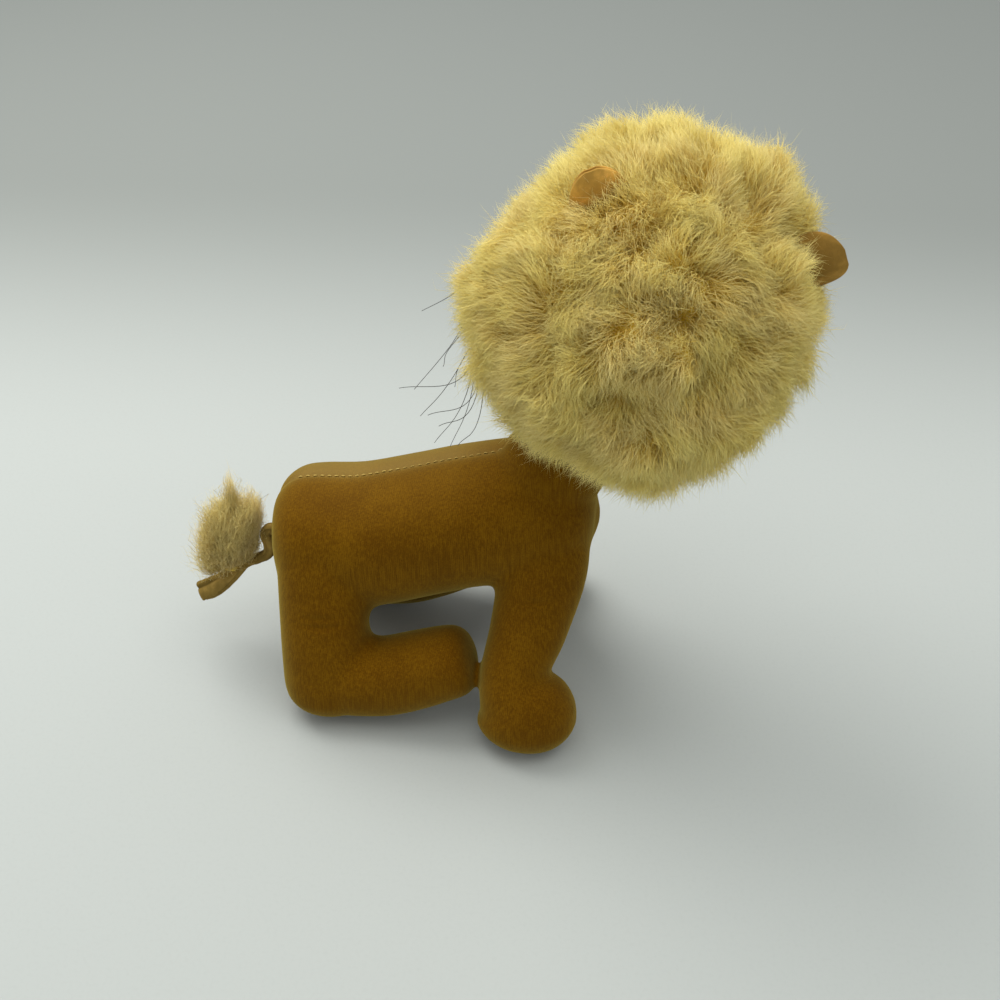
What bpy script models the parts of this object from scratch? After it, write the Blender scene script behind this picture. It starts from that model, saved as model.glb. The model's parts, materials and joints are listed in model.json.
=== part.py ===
"""A small stuffed lion in velveteen and mohair, modelled piece by piece.

The toy stands on its heels and front paws. Each stuffed form is a sleeve of velveteen, open where
it is sewn to a larger one, round its own wad of stuffing. The head is a separate ball that turns
on a disc joint inside the neck. A mohair mane goes round all of it but the face, and the tail is a
folded strip of velveteen that ends in a mohair tuft.

Lengths are in metres. +X is the way the body faces, +Y its left side and +Z up.
"""

import math

import bmesh
import bpy
from mathutils import Matrix, Vector

# Clearances and cloth
GAP = 0.0003
COVER_THICKNESS = 0.0010
SOLE_PRESS = 0.0005
CUT_OVERRUN = 0.020

# Trunk
BODY_LENGTH = 0.0895
BACK_HEIGHT = 0.0655
BODY_WIDTH = 0.0390
BODY_DEPTH = 0.0420
RUMP_ROUNDING = 0.0085
RUMP_CROWN = 0.0015
CHEST_ROUNDING = 0.0130
CHEST_CROWN = 0.0015
# x of the body's length, z of the back's height, width and depth of the body's
TRUNK_SHARES = (
    (0.000, 0.665, 0.90, 0.92),
    (0.150, 0.676, 1.00, 0.98),
    (0.307, 0.708, 1.03, 0.98),
    (0.486, 0.782, 1.01, 0.96),
    (0.642, 0.846, 1.00, 0.96),
    (0.827, 0.879, 0.96, 0.98),
    (0.992, 0.868, 0.90, 0.92),
)

# Neck, from inside the trunk to the face that the head turns on
NECK_RADIUS = 0.0125
NECK_BASE_RADIUS = 0.0150
NECK_LEAN = math.radians(21)
NECK_STRAIGHT = 0.0150
NECK_EDGE = 0.0020
# x of the body's length and z of the back's height
NECK_BASE_SHARES = (0.793, 0.947)
NECK_FACE_SHARES = (0.976, 1.466)

# Front legs
FRONT_LEG_WIDTH = 0.0215
PAW_SPREAD = 0.0630
PAW_WIDTH = 0.0236
PAW_LENGTH = 0.0275
PAW_ROUNDING = 0.0095
SOLE_CROWN = 0.0010
# x of the body's length, y of half the paw spread, z of the back's height, then width and length
# of the leg's own width
FRONT_LEG_SHARES = (
    (0.855, 0.22, 0.870, 1.02, 1.12),
    (0.847, 0.38, 0.700, 1.02, 1.10),
    (0.815, 0.60, 0.490, 0.96, 0.98),
    (0.785, 0.83, 0.305, 0.98, 0.97),
)
# x of the body's length, y of half the paw spread, z of the back's height, then width and length
# of the paw's own
PAW_SHARES = (
    (0.806, 0.97, 0.160, 0.97, 0.99),
    (0.813, 1.00, 0.066, 1.00, 1.00),
)

# Hind legs
HIND_LEG_WIDTH = 0.0220
HIND_LEG_LENGTH = 0.0245
HIND_SPREAD = 0.0458
HEEL_ROUNDING = 0.0080
# x of the body's length, y of half the hind spread, z of the back's height, then width and length
# of the leg's own
HIND_LEG_SHARES = (
    (0.172, 0.36, 0.760, 0.96, 1.02),
    (0.176, 0.60, 0.560, 0.97, 1.00),
    (0.182, 0.84, 0.340, 1.00, 1.00),
    (0.188, 0.98, 0.165, 1.02, 1.00),
    (0.190, 1.00, 0.080, 1.02, 0.99),
)

# Hind feet
FOOT_REACH = 0.0575
FOOT_WIDTH = 0.0210
FOOT_DEPTH = 0.0222
TOE_ROUNDING = 0.0075
TOE_CROWN = 0.0012
# x of the foot's reach, z of the foot's depth, then width and depth of the foot's own
FOOT_SHARES = (
    (0.320, 0.530, 1.00, 1.00),
    (0.560, 0.585, 1.02, 1.01),
    (0.720, 0.730, 1.01, 0.98),
    (0.860, 0.885, 0.98, 0.90),
    (1.000, 1.020, 0.92, 0.79),
)

# Neck joint
DISC_RADIUS = 0.0090
DISC_THICKNESS = 0.0020
WASHER_RADIUS = 0.0050
WASHER_THICKNESS = 0.0008
PIN_RADIUS = 0.0010
PIN_CLEARANCE = 0.0004
PIN_EYE_RADIUS = 0.0022
PIN_CURL_RADIUS = 0.0022
PIN_WIRE_RADIUS = 0.0008

# Head
HEAD_RADIUS = 0.0315
HEAD_FLAT_RADIUS = 0.0115
HEAD_TURN = math.radians(100)
FACE_TILT = math.radians(8)

# Mane
MANE_RADIUS = 0.0440
MANE_LUMP = 0.0012
FACE_OPENING = math.radians(40)
MANE_RISE = math.radians(14)
MANE_RIM_SHARE = 0.45
MANE_NECK_CLEARANCE = 0.0028
# How many lumps go round the face, how far they wind from front to back, and how many follow there
MANE_LUMPS_AROUND = 5
MANE_LUMP_TWIST = 3
MANE_LUMPS_DOWN = 4

# Face
MUZZLE_REACH = 0.0100
MUZZLE_WIDTH = 0.0210
MUZZLE_HEIGHT = 0.0165
MUZZLE_DROP = 0.0095
MUZZLE_ROUNDING = 0.0070
# Distance from the muzzle's root in shares of its reach, then its size there in shares of its own
MUZZLE_SHARES = ((0, 1.0), (0.85, 1.0), (1.70, 0.86))
NOSE_WIDTH = 0.0085
NOSE_HEIGHT = 0.0058
NOSE_REACH = 0.0026
NOSE_ROUNDING = 0.0020
NOSE_RISE = 0.0036
# Distance along the nose in shares of its reach both ways, then its size there in shares of its own
NOSE_SHARES = ((0, 0.90), (0.50, 1.0), (1.0, 0.92))
EYE_RADIUS = 0.0030
EYE_HEIGHT = 0.0021
EYE_SIDE = math.radians(17)
EYE_RISE = math.radians(12)

# Ears
EAR_WIDTH = 0.0155
EAR_LENGTH = 0.0155
EAR_LAYER = 0.0011
EAR_CUP = 0.0030
EAR_SINK = 0.0100
# How far an ear's outline narrows to its tip, and how much flatter it is there
EAR_TAPER_SHARE = 0.92
EAR_FLATTER_SHARE = 0.30
EAR_SIDE = math.radians(42)
EAR_BACK = math.radians(13)

# Whiskers
WHISKER_RADIUS = 0.0003
WHISKER_STAND = 0.0160
WHISKER_KNOT = 0.0011
# Tips of the whiskers from the head's centre: forward, sideways and up, in shares of the mane's
# radius with their stand over it. The left ones sweep back and droop, and the right ones stand out.
WHISKER_TIP_SHARES = {
    "left": (
        (0.50, 0.66, -0.60),
        (-0.08, 0.80, -0.61),
        (-0.25, 0.76, -0.61),
        (-0.38, 0.68, -0.61),
    ),
    "right": (
        (0.52, 0.72, 0.02),
        (0.44, 0.76, -0.12),
        (0.42, 0.70, -0.26),
        (0.50, 0.58, -0.36),
    ),
}
# Their bow from the knot, in shares of the mane's thickness, which they pass in front of
WHISKER_BOW_SHARES = {"left": (0.46, 1.66, -1.74), "right": (0.480, 1.440, -0.096)}

# Tail
TAIL_HEIGHT = 0.0480
TAIL_HANG = 0.0120
TAIL_REACH = 0.0222
TAIL_DROP = 0.0155
TAIL_WIDTH = 0.0056
TAIL_THICKNESS = 0.0022
TAIL_BEND = 0.0030
# Width and thickness of the strip at its root, above its bend, past it and at its end, in shares of
# its own. It is gathered narrow at the rump, so that it swings clear of it.
TAIL_SHARES = ((0.46, 1.00), (0.46, 1.00), (0.60, 0.92), (1.00, 0.80))
TUFT_HEIGHT = 0.0385
TUFT_LENGTH = 0.0132
TUFT_WIDTH = 0.0085
TUFT_LEAN = 0.0095
TUFT_SEAT_SHARE = 0.86
TUFT_STAND = 0.0034
# Height and lean of the tuft's own, then its width and length of its own
TUFT_SHARES = (
    (0.00, -0.10, 0.45, 0.20),
    (0.22, 0.62, 0.95, 0.90),
    (0.50, 1.00, 1.00, 1.00),
    (0.78, 1.10, 0.72, 0.62),
    (1.00, 1.02, 0.30, 0.22),
)

# How finely the forms are divided
AROUND_TRUNK = 24
AROUND_LIMB = 14
AROUND_CAVITY = 10
CAP_RINGS = 2
CROWN_RING_SHARE = 0.5
AROUND_MANE = 28
DOWN_MANE = 14
MANE_RING_CROWDING = 1.25

VELVETEEN = ((0.29, 0.155, 0.035), 0.85, 0.0)
MOHAIR = ((0.62, 0.50, 0.22), 0.9, 0.0)
EAR_CLOTH = ((0.50, 0.25, 0.09), 0.85, 0.0)
STUFFING = ((0.72, 0.64, 0.48), 0.95, 0.0)
HARDBOARD = ((0.30, 0.19, 0.11), 0.7, 0.0)
STEEL = ((0.55, 0.55, 0.56), 0.35, 1.0)
DARK_GLASS = ((0.02, 0.012, 0.008), 0.08, 0.0)
NOSE_THREAD = ((0.05, 0.03, 0.02), 0.6, 0.0)
WHISKER_THREAD = ((0.05, 0.05, 0.05), 0.5, 0.0)


def clear_scene():
    """Removes what the new file holds."""
    for thing in list(bpy.data.objects):
        bpy.data.objects.remove(thing, do_unlink=True)


def finish_for(name, finish):
    """A Principled material of its own for one piece."""
    colour, roughness, metallic = finish
    material = bpy.data.materials.new(name)
    material.use_nodes = True
    shader = material.node_tree.nodes["Principled BSDF"]
    shader.inputs["Base Color"].default_value = (*colour, 1)
    shader.inputs["Roughness"].default_value = roughness
    shader.inputs["Metallic"].default_value = metallic
    return material


def empty(name, parent, place, turn=None):
    """A parent frame that carries pieces."""
    frame = bpy.data.objects.new(name, None)
    bpy.context.collection.objects.link(frame)
    frame.parent = parent
    frame.matrix_local = Matrix.Translation(place) @ (turn or Matrix())
    return frame


def solid(name, points, faces, parent, finish=None):
    """A closed mesh as a named object, faces outward. Without a finish it is a cutter."""
    mesh = bpy.data.meshes.new(name)
    work = bmesh.new()
    corners = [work.verts.new(point) for point in points]
    for face in faces:
        work.faces.new([corners[i] for i in face])
    bmesh.ops.recalc_face_normals(work, faces=work.faces)
    work.to_mesh(mesh)
    work.free()
    thing = bpy.data.objects.new(name, mesh)
    bpy.context.collection.objects.link(thing)
    thing.parent = parent
    if finish is None:
        thing.hide_render = True
        thing.display_type = "WIRE"
    else:
        mesh.materials.append(finish_for(name, finish))
        mesh.shade_smooth()
        mesh.set_sharp_from_angle(angle=math.radians(50))
    return thing


def combine(thing, tool, operation="DIFFERENCE"):
    """A Boolean of one object with another."""
    change = thing.modifiers.new(operation.lower() + "_" + tool.name, "BOOLEAN")
    change.operation = operation
    change.solver = "EXACT"
    change.object = tool


def stitch_rings(rings, first_pole, last_pole):
    """Points and faces of a closed skin over rings of equal count, with a pole at each end."""
    around = len(rings[0])
    points = [first_pole] + [point for ring in rings for point in ring] + [last_pole]
    last = len(points) - 1
    faces = []
    for k in range(around):
        after = (k + 1) % around
        faces.append((0, 1 + after, 1 + k))
        for row in range(len(rings) - 1):
            here = 1 + row * around
            over = here + around
            faces.append((here + k, here + after, over + after))
            faces.append((here + k, over + after, over + k))
        end = 1 + (len(rings) - 1) * around
        faces.append((end + k, end + after, last))
    return points, faces


def lathe(name, profile, around, parent, finish=None, place=None):
    """A turned solid about the frame's Z axis. The profile is (radius, height), from pole to pole,
    or a closed loop where it never meets the axis."""
    looped = profile[0][0] > 0
    shift = place or Vector()

    def ring(radius, height):
        return [
            shift + Vector((radius * math.cos(a), radius * math.sin(a), height))
            for a in (2 * math.pi * k / around for k in range(around))
        ]

    if not looped:
        rings = [ring(*point) for point in profile[1:-1]]
        low = shift + Vector((0, 0, profile[0][1]))
        high = shift + Vector((0, 0, profile[-1][1]))
        return solid(name, *stitch_rings(rings, low, high), parent, finish)
    rings = [ring(*point) for point in profile]
    points = [point for one in rings for point in one]
    faces = []
    for row in range(len(rings)):
        here = row * around
        over = (row + 1) % len(rings) * around
        for k in range(around):
            after = (k + 1) % around
            faces.append((here + k, here + after, over + after, over + k))
    return solid(name, points, faces, parent, finish)


def arc(centre, radius, start, end, steps):
    """Points (radius, height) on a circle in a profile, with angles from the axis's top."""
    angles = [start + (end - start) * k / steps for k in range(steps + 1)]
    return [
        (centre[0] + radius * math.sin(a), centre[1] + radius * math.cos(a)) for a in angles
    ]


class Path:
    """A smooth curve through stations, each a place with two half sizes."""

    FINE = 24

    def __init__(self, stations):
        rows = [(*place, side, other) for place, side, other in stations]
        first = [2 * a - b for a, b in zip(rows[0], rows[1])]
        last = [2 * a - b for a, b in zip(rows[-1], rows[-2])]
        rows = [first, *rows, last]
        self.samples = []
        for k in range(1, len(rows) - 2):
            for step in range(self.FINE):
                self.samples.append(self.between(rows[k - 1 : k + 3], step / self.FINE))
        self.samples.append(tuple(rows[-2]))
        self.run = [0.0]
        for a, b in zip(self.samples, self.samples[1:]):
            self.run.append(self.run[-1] + (Vector(b[:3]) - Vector(a[:3])).length)
        self.length = self.run[-1]

    @staticmethod
    def between(rows, t):
        """The Catmull-Rom blend of four rows."""
        a, b, c, d = rows
        return tuple(
            0.5 * (2 * q + (r - p) * t + (2 * p - 5 * q + 4 * r - s) * t**2
                   + (3 * q - p - 3 * r + s) * t**3)
            for p, q, r, s in zip(a, b, c, d)
        )

    def at(self, distance):
        """Place, direction and half sizes at a distance along the curve, or past its ends."""
        held = min(max(distance, 0), self.length)
        k = 0
        while k < len(self.run) - 2 and self.run[k + 1] < held:
            k += 1
        t = (held - self.run[k]) / (self.run[k + 1] - self.run[k])
        row = [a + (b - a) * t for a, b in zip(self.samples[k], self.samples[k + 1])]
        before = Vector(self.samples[max(k - 1, 0)][:3])
        after = Vector(self.samples[min(k + 2, len(self.samples) - 1)][:3])
        direction = (after - before).normalized()
        place = Vector(row[:3]) + direction * (distance - held)
        return place, direction, row[3], row[4]


def end_rings(rounding, crown, inset):
    """(distance in from the end, how far the section is drawn in, share of what is left), from
    the middle of the end outward."""
    corner = rounding - inset
    rows = [(inset - crown * (1 - CROWN_RING_SHARE**2), corner, CROWN_RING_SHARE)]
    for k in range(CAP_RINGS + 1):
        a = math.pi / 2 * k / CAP_RINGS
        rows.append((inset + corner * (1 - math.cos(a)), corner * (1 - math.sin(a)), 1))
    return rows


def stuffed_form(name, stations, around, along, start, end, parent, finish=None, inset=0.0):
    """A closed form that swells and tapers along its stations, with rounded and crowned ends.
    start and end are (rounding, crown). An inset moves the whole skin inward."""
    path = Path(stations)
    first = end_rings(*start, inset)
    last = end_rings(*end, inset)
    rows = list(first)
    near = first[-1][0]
    far = path.length - last[-1][0]
    for k in range(1, along):
        rows.append((near + (far - near) * k / along, 0, 1))
    rows += [(path.length - distance, drawn, share) for distance, drawn, share in reversed(last)]
    rings = []
    for distance, drawn, share in rows:
        place, direction, half_side, half_other = path.at(distance)
        side = Vector((0, 1, 0))
        side = (side - direction * side.dot(direction)).normalized()
        other = direction.cross(side)
        wide = (half_side - inset - drawn) * share
        deep = (half_other - inset - drawn) * share
        rings.append([
            place + side * wide * math.cos(a) + other * deep * math.sin(a)
            for a in (2 * math.pi * k / around for k in range(around))
        ])
    first_pole = path.at(inset - start[1])[0]
    last_pole = path.at(path.length - inset + end[1])[0]
    return solid(name, *stitch_rings(rings, first_pole, last_pole), parent, finish)


def box(name, low, high, parent, finish=None):
    """A plain block between two corners."""
    xs, ys, zs = zip(low, high)
    points = [Vector((x, y, z)) for x in xs for y in ys for z in zs]
    faces = [(0, 1, 3, 2), (4, 6, 7, 5), (0, 4, 5, 1), (2, 3, 7, 6), (0, 2, 6, 4), (1, 5, 7, 3)]
    return solid(name, points, faces, parent, finish)


def wire(name, places, radius, around, parent):
    """A round wire through places, as a cutter or a tool for a union."""
    rings = []
    for k, place in enumerate(places):
        direction = (places[min(k + 1, len(places) - 1)] - places[max(k - 1, 0)]).normalized()
        side = direction.orthogonal().normalized() if k == 0 else side
        side = (side - direction * side.dot(direction)).normalized()
        other = direction.cross(side)
        rings.append([
            place + (side * math.cos(a) + other * math.sin(a)) * radius
            for a in (2 * math.pi * n / around for n in range(around))
        ])
    return solid(name, *stitch_rings(rings, places[0], places[-1]), parent)


def trunk_stations():
    """The trunk from rump to chest."""
    return [
        (
            Vector((x * BODY_LENGTH, 0, z * BACK_HEIGHT)),
            width * BODY_WIDTH / 2,
            depth * BODY_DEPTH / 2,
        )
        for x, z, width, depth in TRUNK_SHARES
    ]


def neck_axis():
    """The line that the head turns about."""
    return Vector((math.sin(NECK_LEAN), 0, math.cos(NECK_LEAN)))


def neck_stations():
    """The neck from inside the trunk to its face."""
    base, face = (
        Vector((x * BODY_LENGTH, 0, z * BACK_HEIGHT))
        for x, z in (NECK_BASE_SHARES, NECK_FACE_SHARES)
    )
    middle = (NECK_RADIUS + NECK_BASE_RADIUS) / 2
    return [
        (base, NECK_BASE_RADIUS, NECK_BASE_RADIUS),
        (face - neck_axis() * NECK_STRAIGHT, middle, middle),
        (face, NECK_RADIUS, NECK_RADIUS),
    ]


def front_leg_stations(side):
    """One front leg from inside the shoulder to the sole."""
    half = side * PAW_SPREAD / 2
    stations = [
        (
            Vector((x * BODY_LENGTH, y * half, z * BACK_HEIGHT)),
            width * FRONT_LEG_WIDTH / 2,
            length * FRONT_LEG_WIDTH / 2,
        )
        for x, y, z, width, length in FRONT_LEG_SHARES
    ]
    stations += [
        (
            Vector((x * BODY_LENGTH, y * half, z * BACK_HEIGHT)),
            width * PAW_WIDTH / 2,
            length * PAW_LENGTH / 2,
        )
        for x, y, z, width, length in PAW_SHARES
    ]
    sole = Vector((stations[-1][0].x, stations[-1][0].y, SOLE_CROWN - SOLE_PRESS))
    stations.append((sole, PAW_WIDTH / 2, PAW_LENGTH / 2))
    return stations


def hind_leg_stations(side):
    """One hind leg from inside the hip to the heel."""
    half = side * HIND_SPREAD / 2
    stations = [
        (
            Vector((x * BODY_LENGTH, y * half, z * BACK_HEIGHT)),
            width * HIND_LEG_WIDTH / 2,
            length * HIND_LEG_LENGTH / 2,
        )
        for x, y, z, width, length in HIND_LEG_SHARES
    ]
    heel = Vector((stations[-1][0].x, stations[-1][0].y, SOLE_CROWN - SOLE_PRESS))
    stations.append((heel, stations[-1][1], stations[-1][2]))
    return stations


def foot_stations(side):
    """One hind foot from inside the heel to the raised toes."""
    across = side * HIND_SPREAD / 2
    return [
        (
            Vector((x * FOOT_REACH, across, z * FOOT_DEPTH)),
            width * FOOT_WIDTH / 2,
            depth * FOOT_DEPTH / 2,
        )
        for x, z, width, depth in FOOT_SHARES
    ]


def sleeve_and_wad(name, stations, around, along, start, end, parent, cutters):
    """A velveteen cover that is open where the cutters take its end off, and the stuffing in it."""
    cover_name, wad_name = name
    cover = stuffed_form(cover_name, stations, around, along, start, end, parent, VELVETEEN)
    wad = stuffed_form(
        wad_name, stations, AROUND_CAVITY, along // 2, start, end, parent, STUFFING,
        inset=COVER_THICKNESS + GAP,
    )
    cavity = stuffed_form(
        "cavity_of_" + cover_name, stations, AROUND_CAVITY, along // 2, start, end, parent,
        inset=COVER_THICKNESS,
    )
    for cutter in cutters:
        combine(cover, cutter)
        combine(wad, cutter)
    combine(cover, cavity)
    return cover, wad


def make_body(lion, neck_frame):
    """The trunk, the legs and the feet."""
    trunk = (trunk_stations(), (RUMP_ROUNDING, RUMP_CROWN), (CHEST_ROUNDING, CHEST_CROWN))
    neck = (neck_stations(), (NECK_EDGE, 0), (NECK_EDGE, 0))

    def trunk_form(name, around, along, finish=None, inset=0.0):
        stations, rump, chest = trunk
        return stuffed_form(name, stations, around, along, rump, chest, lion, finish, inset)

    def neck_form(name, around, inset=0.0):
        stations, base, face = neck
        return stuffed_form(name, stations, around, 4, base, face, lion, None, inset)

    cover = trunk_form("torso_cover", AROUND_TRUNK, 13, VELVETEEN)
    combine(cover, neck_form("neck_of_cover", AROUND_LIMB), "UNION")
    combine(cover, trunk_form("cavity_of_torso", AROUND_CAVITY + 4, 8, inset=COVER_THICKNESS))
    combine(cover, neck_form("cavity_of_neck", AROUND_CAVITY, inset=COVER_THICKNESS))
    filling = trunk_form(
        "torso_filling", AROUND_CAVITY + 4, 8, STUFFING, inset=COVER_THICKNESS + GAP
    )
    combine(filling, neck_form("neck_of_filling", AROUND_CAVITY, COVER_THICKNESS + GAP), "UNION")
    pin_hole = lathe(
        "pin_hole_of_torso",
        [(0, -CUT_OVERRUN), (PIN_RADIUS + PIN_CLEARANCE, -CUT_OVERRUN),
         (PIN_RADIUS + PIN_CLEARANCE, CUT_OVERRUN), (0, CUT_OVERRUN)],
        12, neck_frame,
    )
    stack = COVER_THICKNESS + GAP + DISC_THICKNESS + GAP + WASHER_THICKNESS + GAP
    pocket_floor = stack + 2 * (PIN_CURL_RADIUS + PIN_WIRE_RADIUS) + GAP
    disc_pocket = lathe(
        "disc_pocket_of_torso",
        [(0, -pocket_floor), (DISC_RADIUS + GAP, -pocket_floor),
         (DISC_RADIUS + GAP, CUT_OVERRUN), (0, CUT_OVERRUN)],
        20, neck_frame,
    )
    combine(cover, pin_hole)
    combine(filling, disc_pocket)

    room = trunk_form("room_for_torso", AROUND_TRUNK, 13, inset=-GAP)
    low = Vector((-BODY_LENGTH, -BODY_LENGTH, -CUT_OVERRUN))
    high = Vector((2 * BODY_LENGTH, BODY_LENGTH, 0))
    ground = box("ground_slab", low, high, lion)

    for side, word in ((1, "left"), (-1, "right")):
        leg = front_leg_stations(side)
        leg_ends = ((FRONT_LEG_WIDTH / 4, 0), (PAW_ROUNDING, SOLE_CROWN))
        sleeve_and_wad(
            (f"front_leg_cover_{word}", f"front_leg_filling_{word}"),
            leg, AROUND_LIMB, 8, *leg_ends, lion, (room, ground),
        )
        leg_room = stuffed_form(
            f"room_for_front_leg_{word}", leg, AROUND_LIMB, 8, *leg_ends, lion, inset=-GAP
        )
        thigh = hind_leg_stations(side)
        thigh_ends = ((HIND_LEG_WIDTH / 4, 0), (HEEL_ROUNDING, SOLE_CROWN))
        sleeve_and_wad(
            (f"hind_leg_cover_{word}", f"hind_leg_filling_{word}"),
            thigh, AROUND_LIMB, 6, *thigh_ends, lion, (room, ground),
        )
        thigh_room = stuffed_form(
            f"room_for_hind_leg_{word}", thigh, AROUND_LIMB, 6, *thigh_ends, lion, inset=-GAP
        )
        foot_ends = ((FOOT_WIDTH / 4, 0), (TOE_ROUNDING, TOE_CROWN))
        sleeve_and_wad(
            (f"hind_foot_cover_{word}", f"hind_foot_filling_{word}"),
            foot_stations(side), AROUND_LIMB, 6, *foot_ends, lion, (thigh_room, leg_room),
        )


def washer(name, radius, thickness, lowest, parent, finish):
    """A flat ring on the neck pin."""
    hole = PIN_RADIUS + PIN_CLEARANCE
    highest = lowest + thickness
    loop = [(hole, lowest), (radius, lowest), (radius, highest), (hole, highest)]
    return lathe(name, loop, 16, parent, finish)


def ring_places(centre, radius, start, sweep, steps):
    """Places on a circle that stands in the plane of the axis."""
    return [
        centre + Vector((radius * math.cos(a), 0, radius * math.sin(a)))
        for a in (start + sweep * k / steps for k in range(steps + 1))
    ]


def make_neck_joint(neck_frame, head_frame):
    """The two discs with their washers, and the cotter pin that draws them together."""
    seat = GAP / 2 + COVER_THICKNESS + GAP
    washer("neck_disc_upper", DISC_RADIUS, DISC_THICKNESS, seat, head_frame, HARDBOARD)
    washer(
        "neck_disc_lower", DISC_RADIUS, DISC_THICKNESS, -seat - DISC_THICKNESS, neck_frame,
        HARDBOARD,
    )
    outer = seat + DISC_THICKNESS + GAP
    washer("neck_washer_upper", WASHER_RADIUS, WASHER_THICKNESS, outer, head_frame, STEEL)
    washer(
        "neck_washer_lower", WASHER_RADIUS, WASHER_THICKNESS, -outer - WASHER_THICKNESS,
        neck_frame, STEEL,
    )
    end = outer + WASHER_THICKNESS + GAP
    shaft_top = end + PIN_WIRE_RADIUS
    pin = lathe(
        "neck_cotter_pin",
        [(0, -shaft_top), (PIN_RADIUS, -shaft_top), (PIN_RADIUS, shaft_top), (0, shaft_top)],
        12, neck_frame, STEEL,
    )
    eye_centre = Vector((0, 0, end + PIN_WIRE_RADIUS + PIN_EYE_RADIUS))
    eye_loop = [
        (PIN_EYE_RADIUS + PIN_WIRE_RADIUS * math.cos(a), PIN_WIRE_RADIUS * math.sin(a))
        for a in (2 * math.pi * k / 5 for k in range(5))
    ]
    eye_frame = empty(
        "pin_eye_frame", neck_frame, eye_centre, Matrix.Rotation(math.pi / 2, 4, "X")
    )
    eye = lathe("pin_eye", eye_loop, 12, eye_frame)
    combine(pin, eye, "UNION")
    for side in (1, -1):
        centre = Vector((side * PIN_CURL_RADIUS, 0, -end - PIN_WIRE_RADIUS - PIN_CURL_RADIUS))
        start = math.pi if side > 0 else 0
        places = ring_places(centre, PIN_CURL_RADIUS, start, -side * math.pi, 6)
        curl = wire(f"pin_curl_{side}", places, PIN_WIRE_RADIUS, 5, neck_frame)
        combine(pin, curl, "UNION")


def head_centre():
    """How far the head's centre lies over its flat neck face."""
    return math.sqrt(HEAD_RADIUS**2 - HEAD_FLAT_RADIUS**2) + GAP / 2


def make_head_ball(head_frame):
    """The round cover, flat where it meets the neck, and the wad in it."""
    up = head_centre()
    hole = PIN_RADIUS + PIN_CLEARANCE
    flat = math.pi - math.asin(HEAD_FLAT_RADIUS / HEAD_RADIUS)
    bottom = GAP / 2
    inner = HEAD_RADIUS - COVER_THICKNESS
    inner_bottom = bottom + COVER_THICKNESS
    inner_flat = math.pi - math.acos((up - inner_bottom) / inner)
    profile = arc((0, up), HEAD_RADIUS, 0, flat, 12)
    profile += [(hole, bottom), (hole, inner_bottom)]
    profile += arc((0, up), inner, inner_flat, 0, 8)
    profile[0] = (0, up + HEAD_RADIUS)
    profile[-1] = (0, up + inner)
    lathe("head_cover", profile, 24, head_frame, VELVETEEN)

    wad = inner - GAP
    wad_bottom = inner_bottom + GAP
    wad_flat = math.pi - math.acos((up - wad_bottom) / wad)
    stack = wad_bottom + DISC_THICKNESS + GAP + WASHER_THICKNESS + GAP
    roof = stack + 2 * (PIN_EYE_RADIUS + PIN_WIRE_RADIUS) + GAP
    pocket = DISC_RADIUS + GAP
    profile = arc((0, up), wad, 0, wad_flat, 8)
    profile += [(pocket, wad_bottom), (pocket, roof), (0, roof)]
    profile[0] = (0, up + wad)
    lathe("head_filling", profile, 16, head_frame, STUFFING)


def face_turn():
    """Turns the face's own frame, with X out of the face, to its tilt on the head."""
    return Matrix.Rotation(FACE_TILT, 4, "Y")


def mane_thickness():
    """How far the mane stands over the head."""
    return MANE_RADIUS - HEAD_RADIUS


def mane_radius(polar, azimuth):
    """The mane's outer surface, full a little behind the face and gently clumped."""
    rise = min(1, (polar - FACE_OPENING) / MANE_RISE)
    full = MANE_RIM_SHARE + (1 - MANE_RIM_SHARE) * math.sin(rise * math.pi / 2)
    clumps = math.sin(MANE_LUMPS_AROUND * azimuth + MANE_LUMP_TWIST * polar)
    clumps *= math.sin(MANE_LUMPS_DOWN * polar) * math.sin(polar)
    return HEAD_RADIUS + mane_thickness() * full + MANE_LUMP * clumps * rise


def make_mane(head_frame, ear_slots):
    """The mohair cover: a thick shell from the face's rim round the back of the head."""
    centre = Vector((0, 0, head_centre()))
    turn = face_turn()
    inner = HEAD_RADIUS + GAP

    def place(radius, polar, azimuth):
        out = Vector((
            math.cos(polar),
            math.sin(polar) * math.cos(azimuth),
            math.sin(polar) * math.sin(azimuth),
        ))
        return centre + turn @ (out * radius)

    rings = []
    turns = [2 * math.pi * k / AROUND_MANE for k in range(AROUND_MANE)]
    polars = [
        FACE_OPENING + (math.pi - FACE_OPENING) * (k / DOWN_MANE) ** MANE_RING_CROWDING
        for k in range(DOWN_MANE)
    ]
    for polar in reversed(polars):
        rings.append([place(mane_radius(polar, a), polar, a) for a in turns])
    for polar in polars:
        rings.append([place(inner, polar, a) for a in turns])
    outer_pole = place(mane_radius(math.pi, 0), math.pi, 0)
    inner_pole = place(inner, math.pi, 0)
    mane = solid("mane", *stitch_rings(rings, outer_pole, inner_pole), head_frame, MOHAIR)
    opening = NECK_RADIUS + MANE_NECK_CLEARANCE
    neck_way = lathe(
        "neck_way_of_mane",
        [(0, -CUT_OVERRUN), (opening, -CUT_OVERRUN), (opening, head_centre() / 2),
         (0, head_centre() / 2)],
        24, head_frame,
    )
    combine(mane, neck_way)
    for slot in ear_slots:
        combine(mane, slot)


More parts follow.
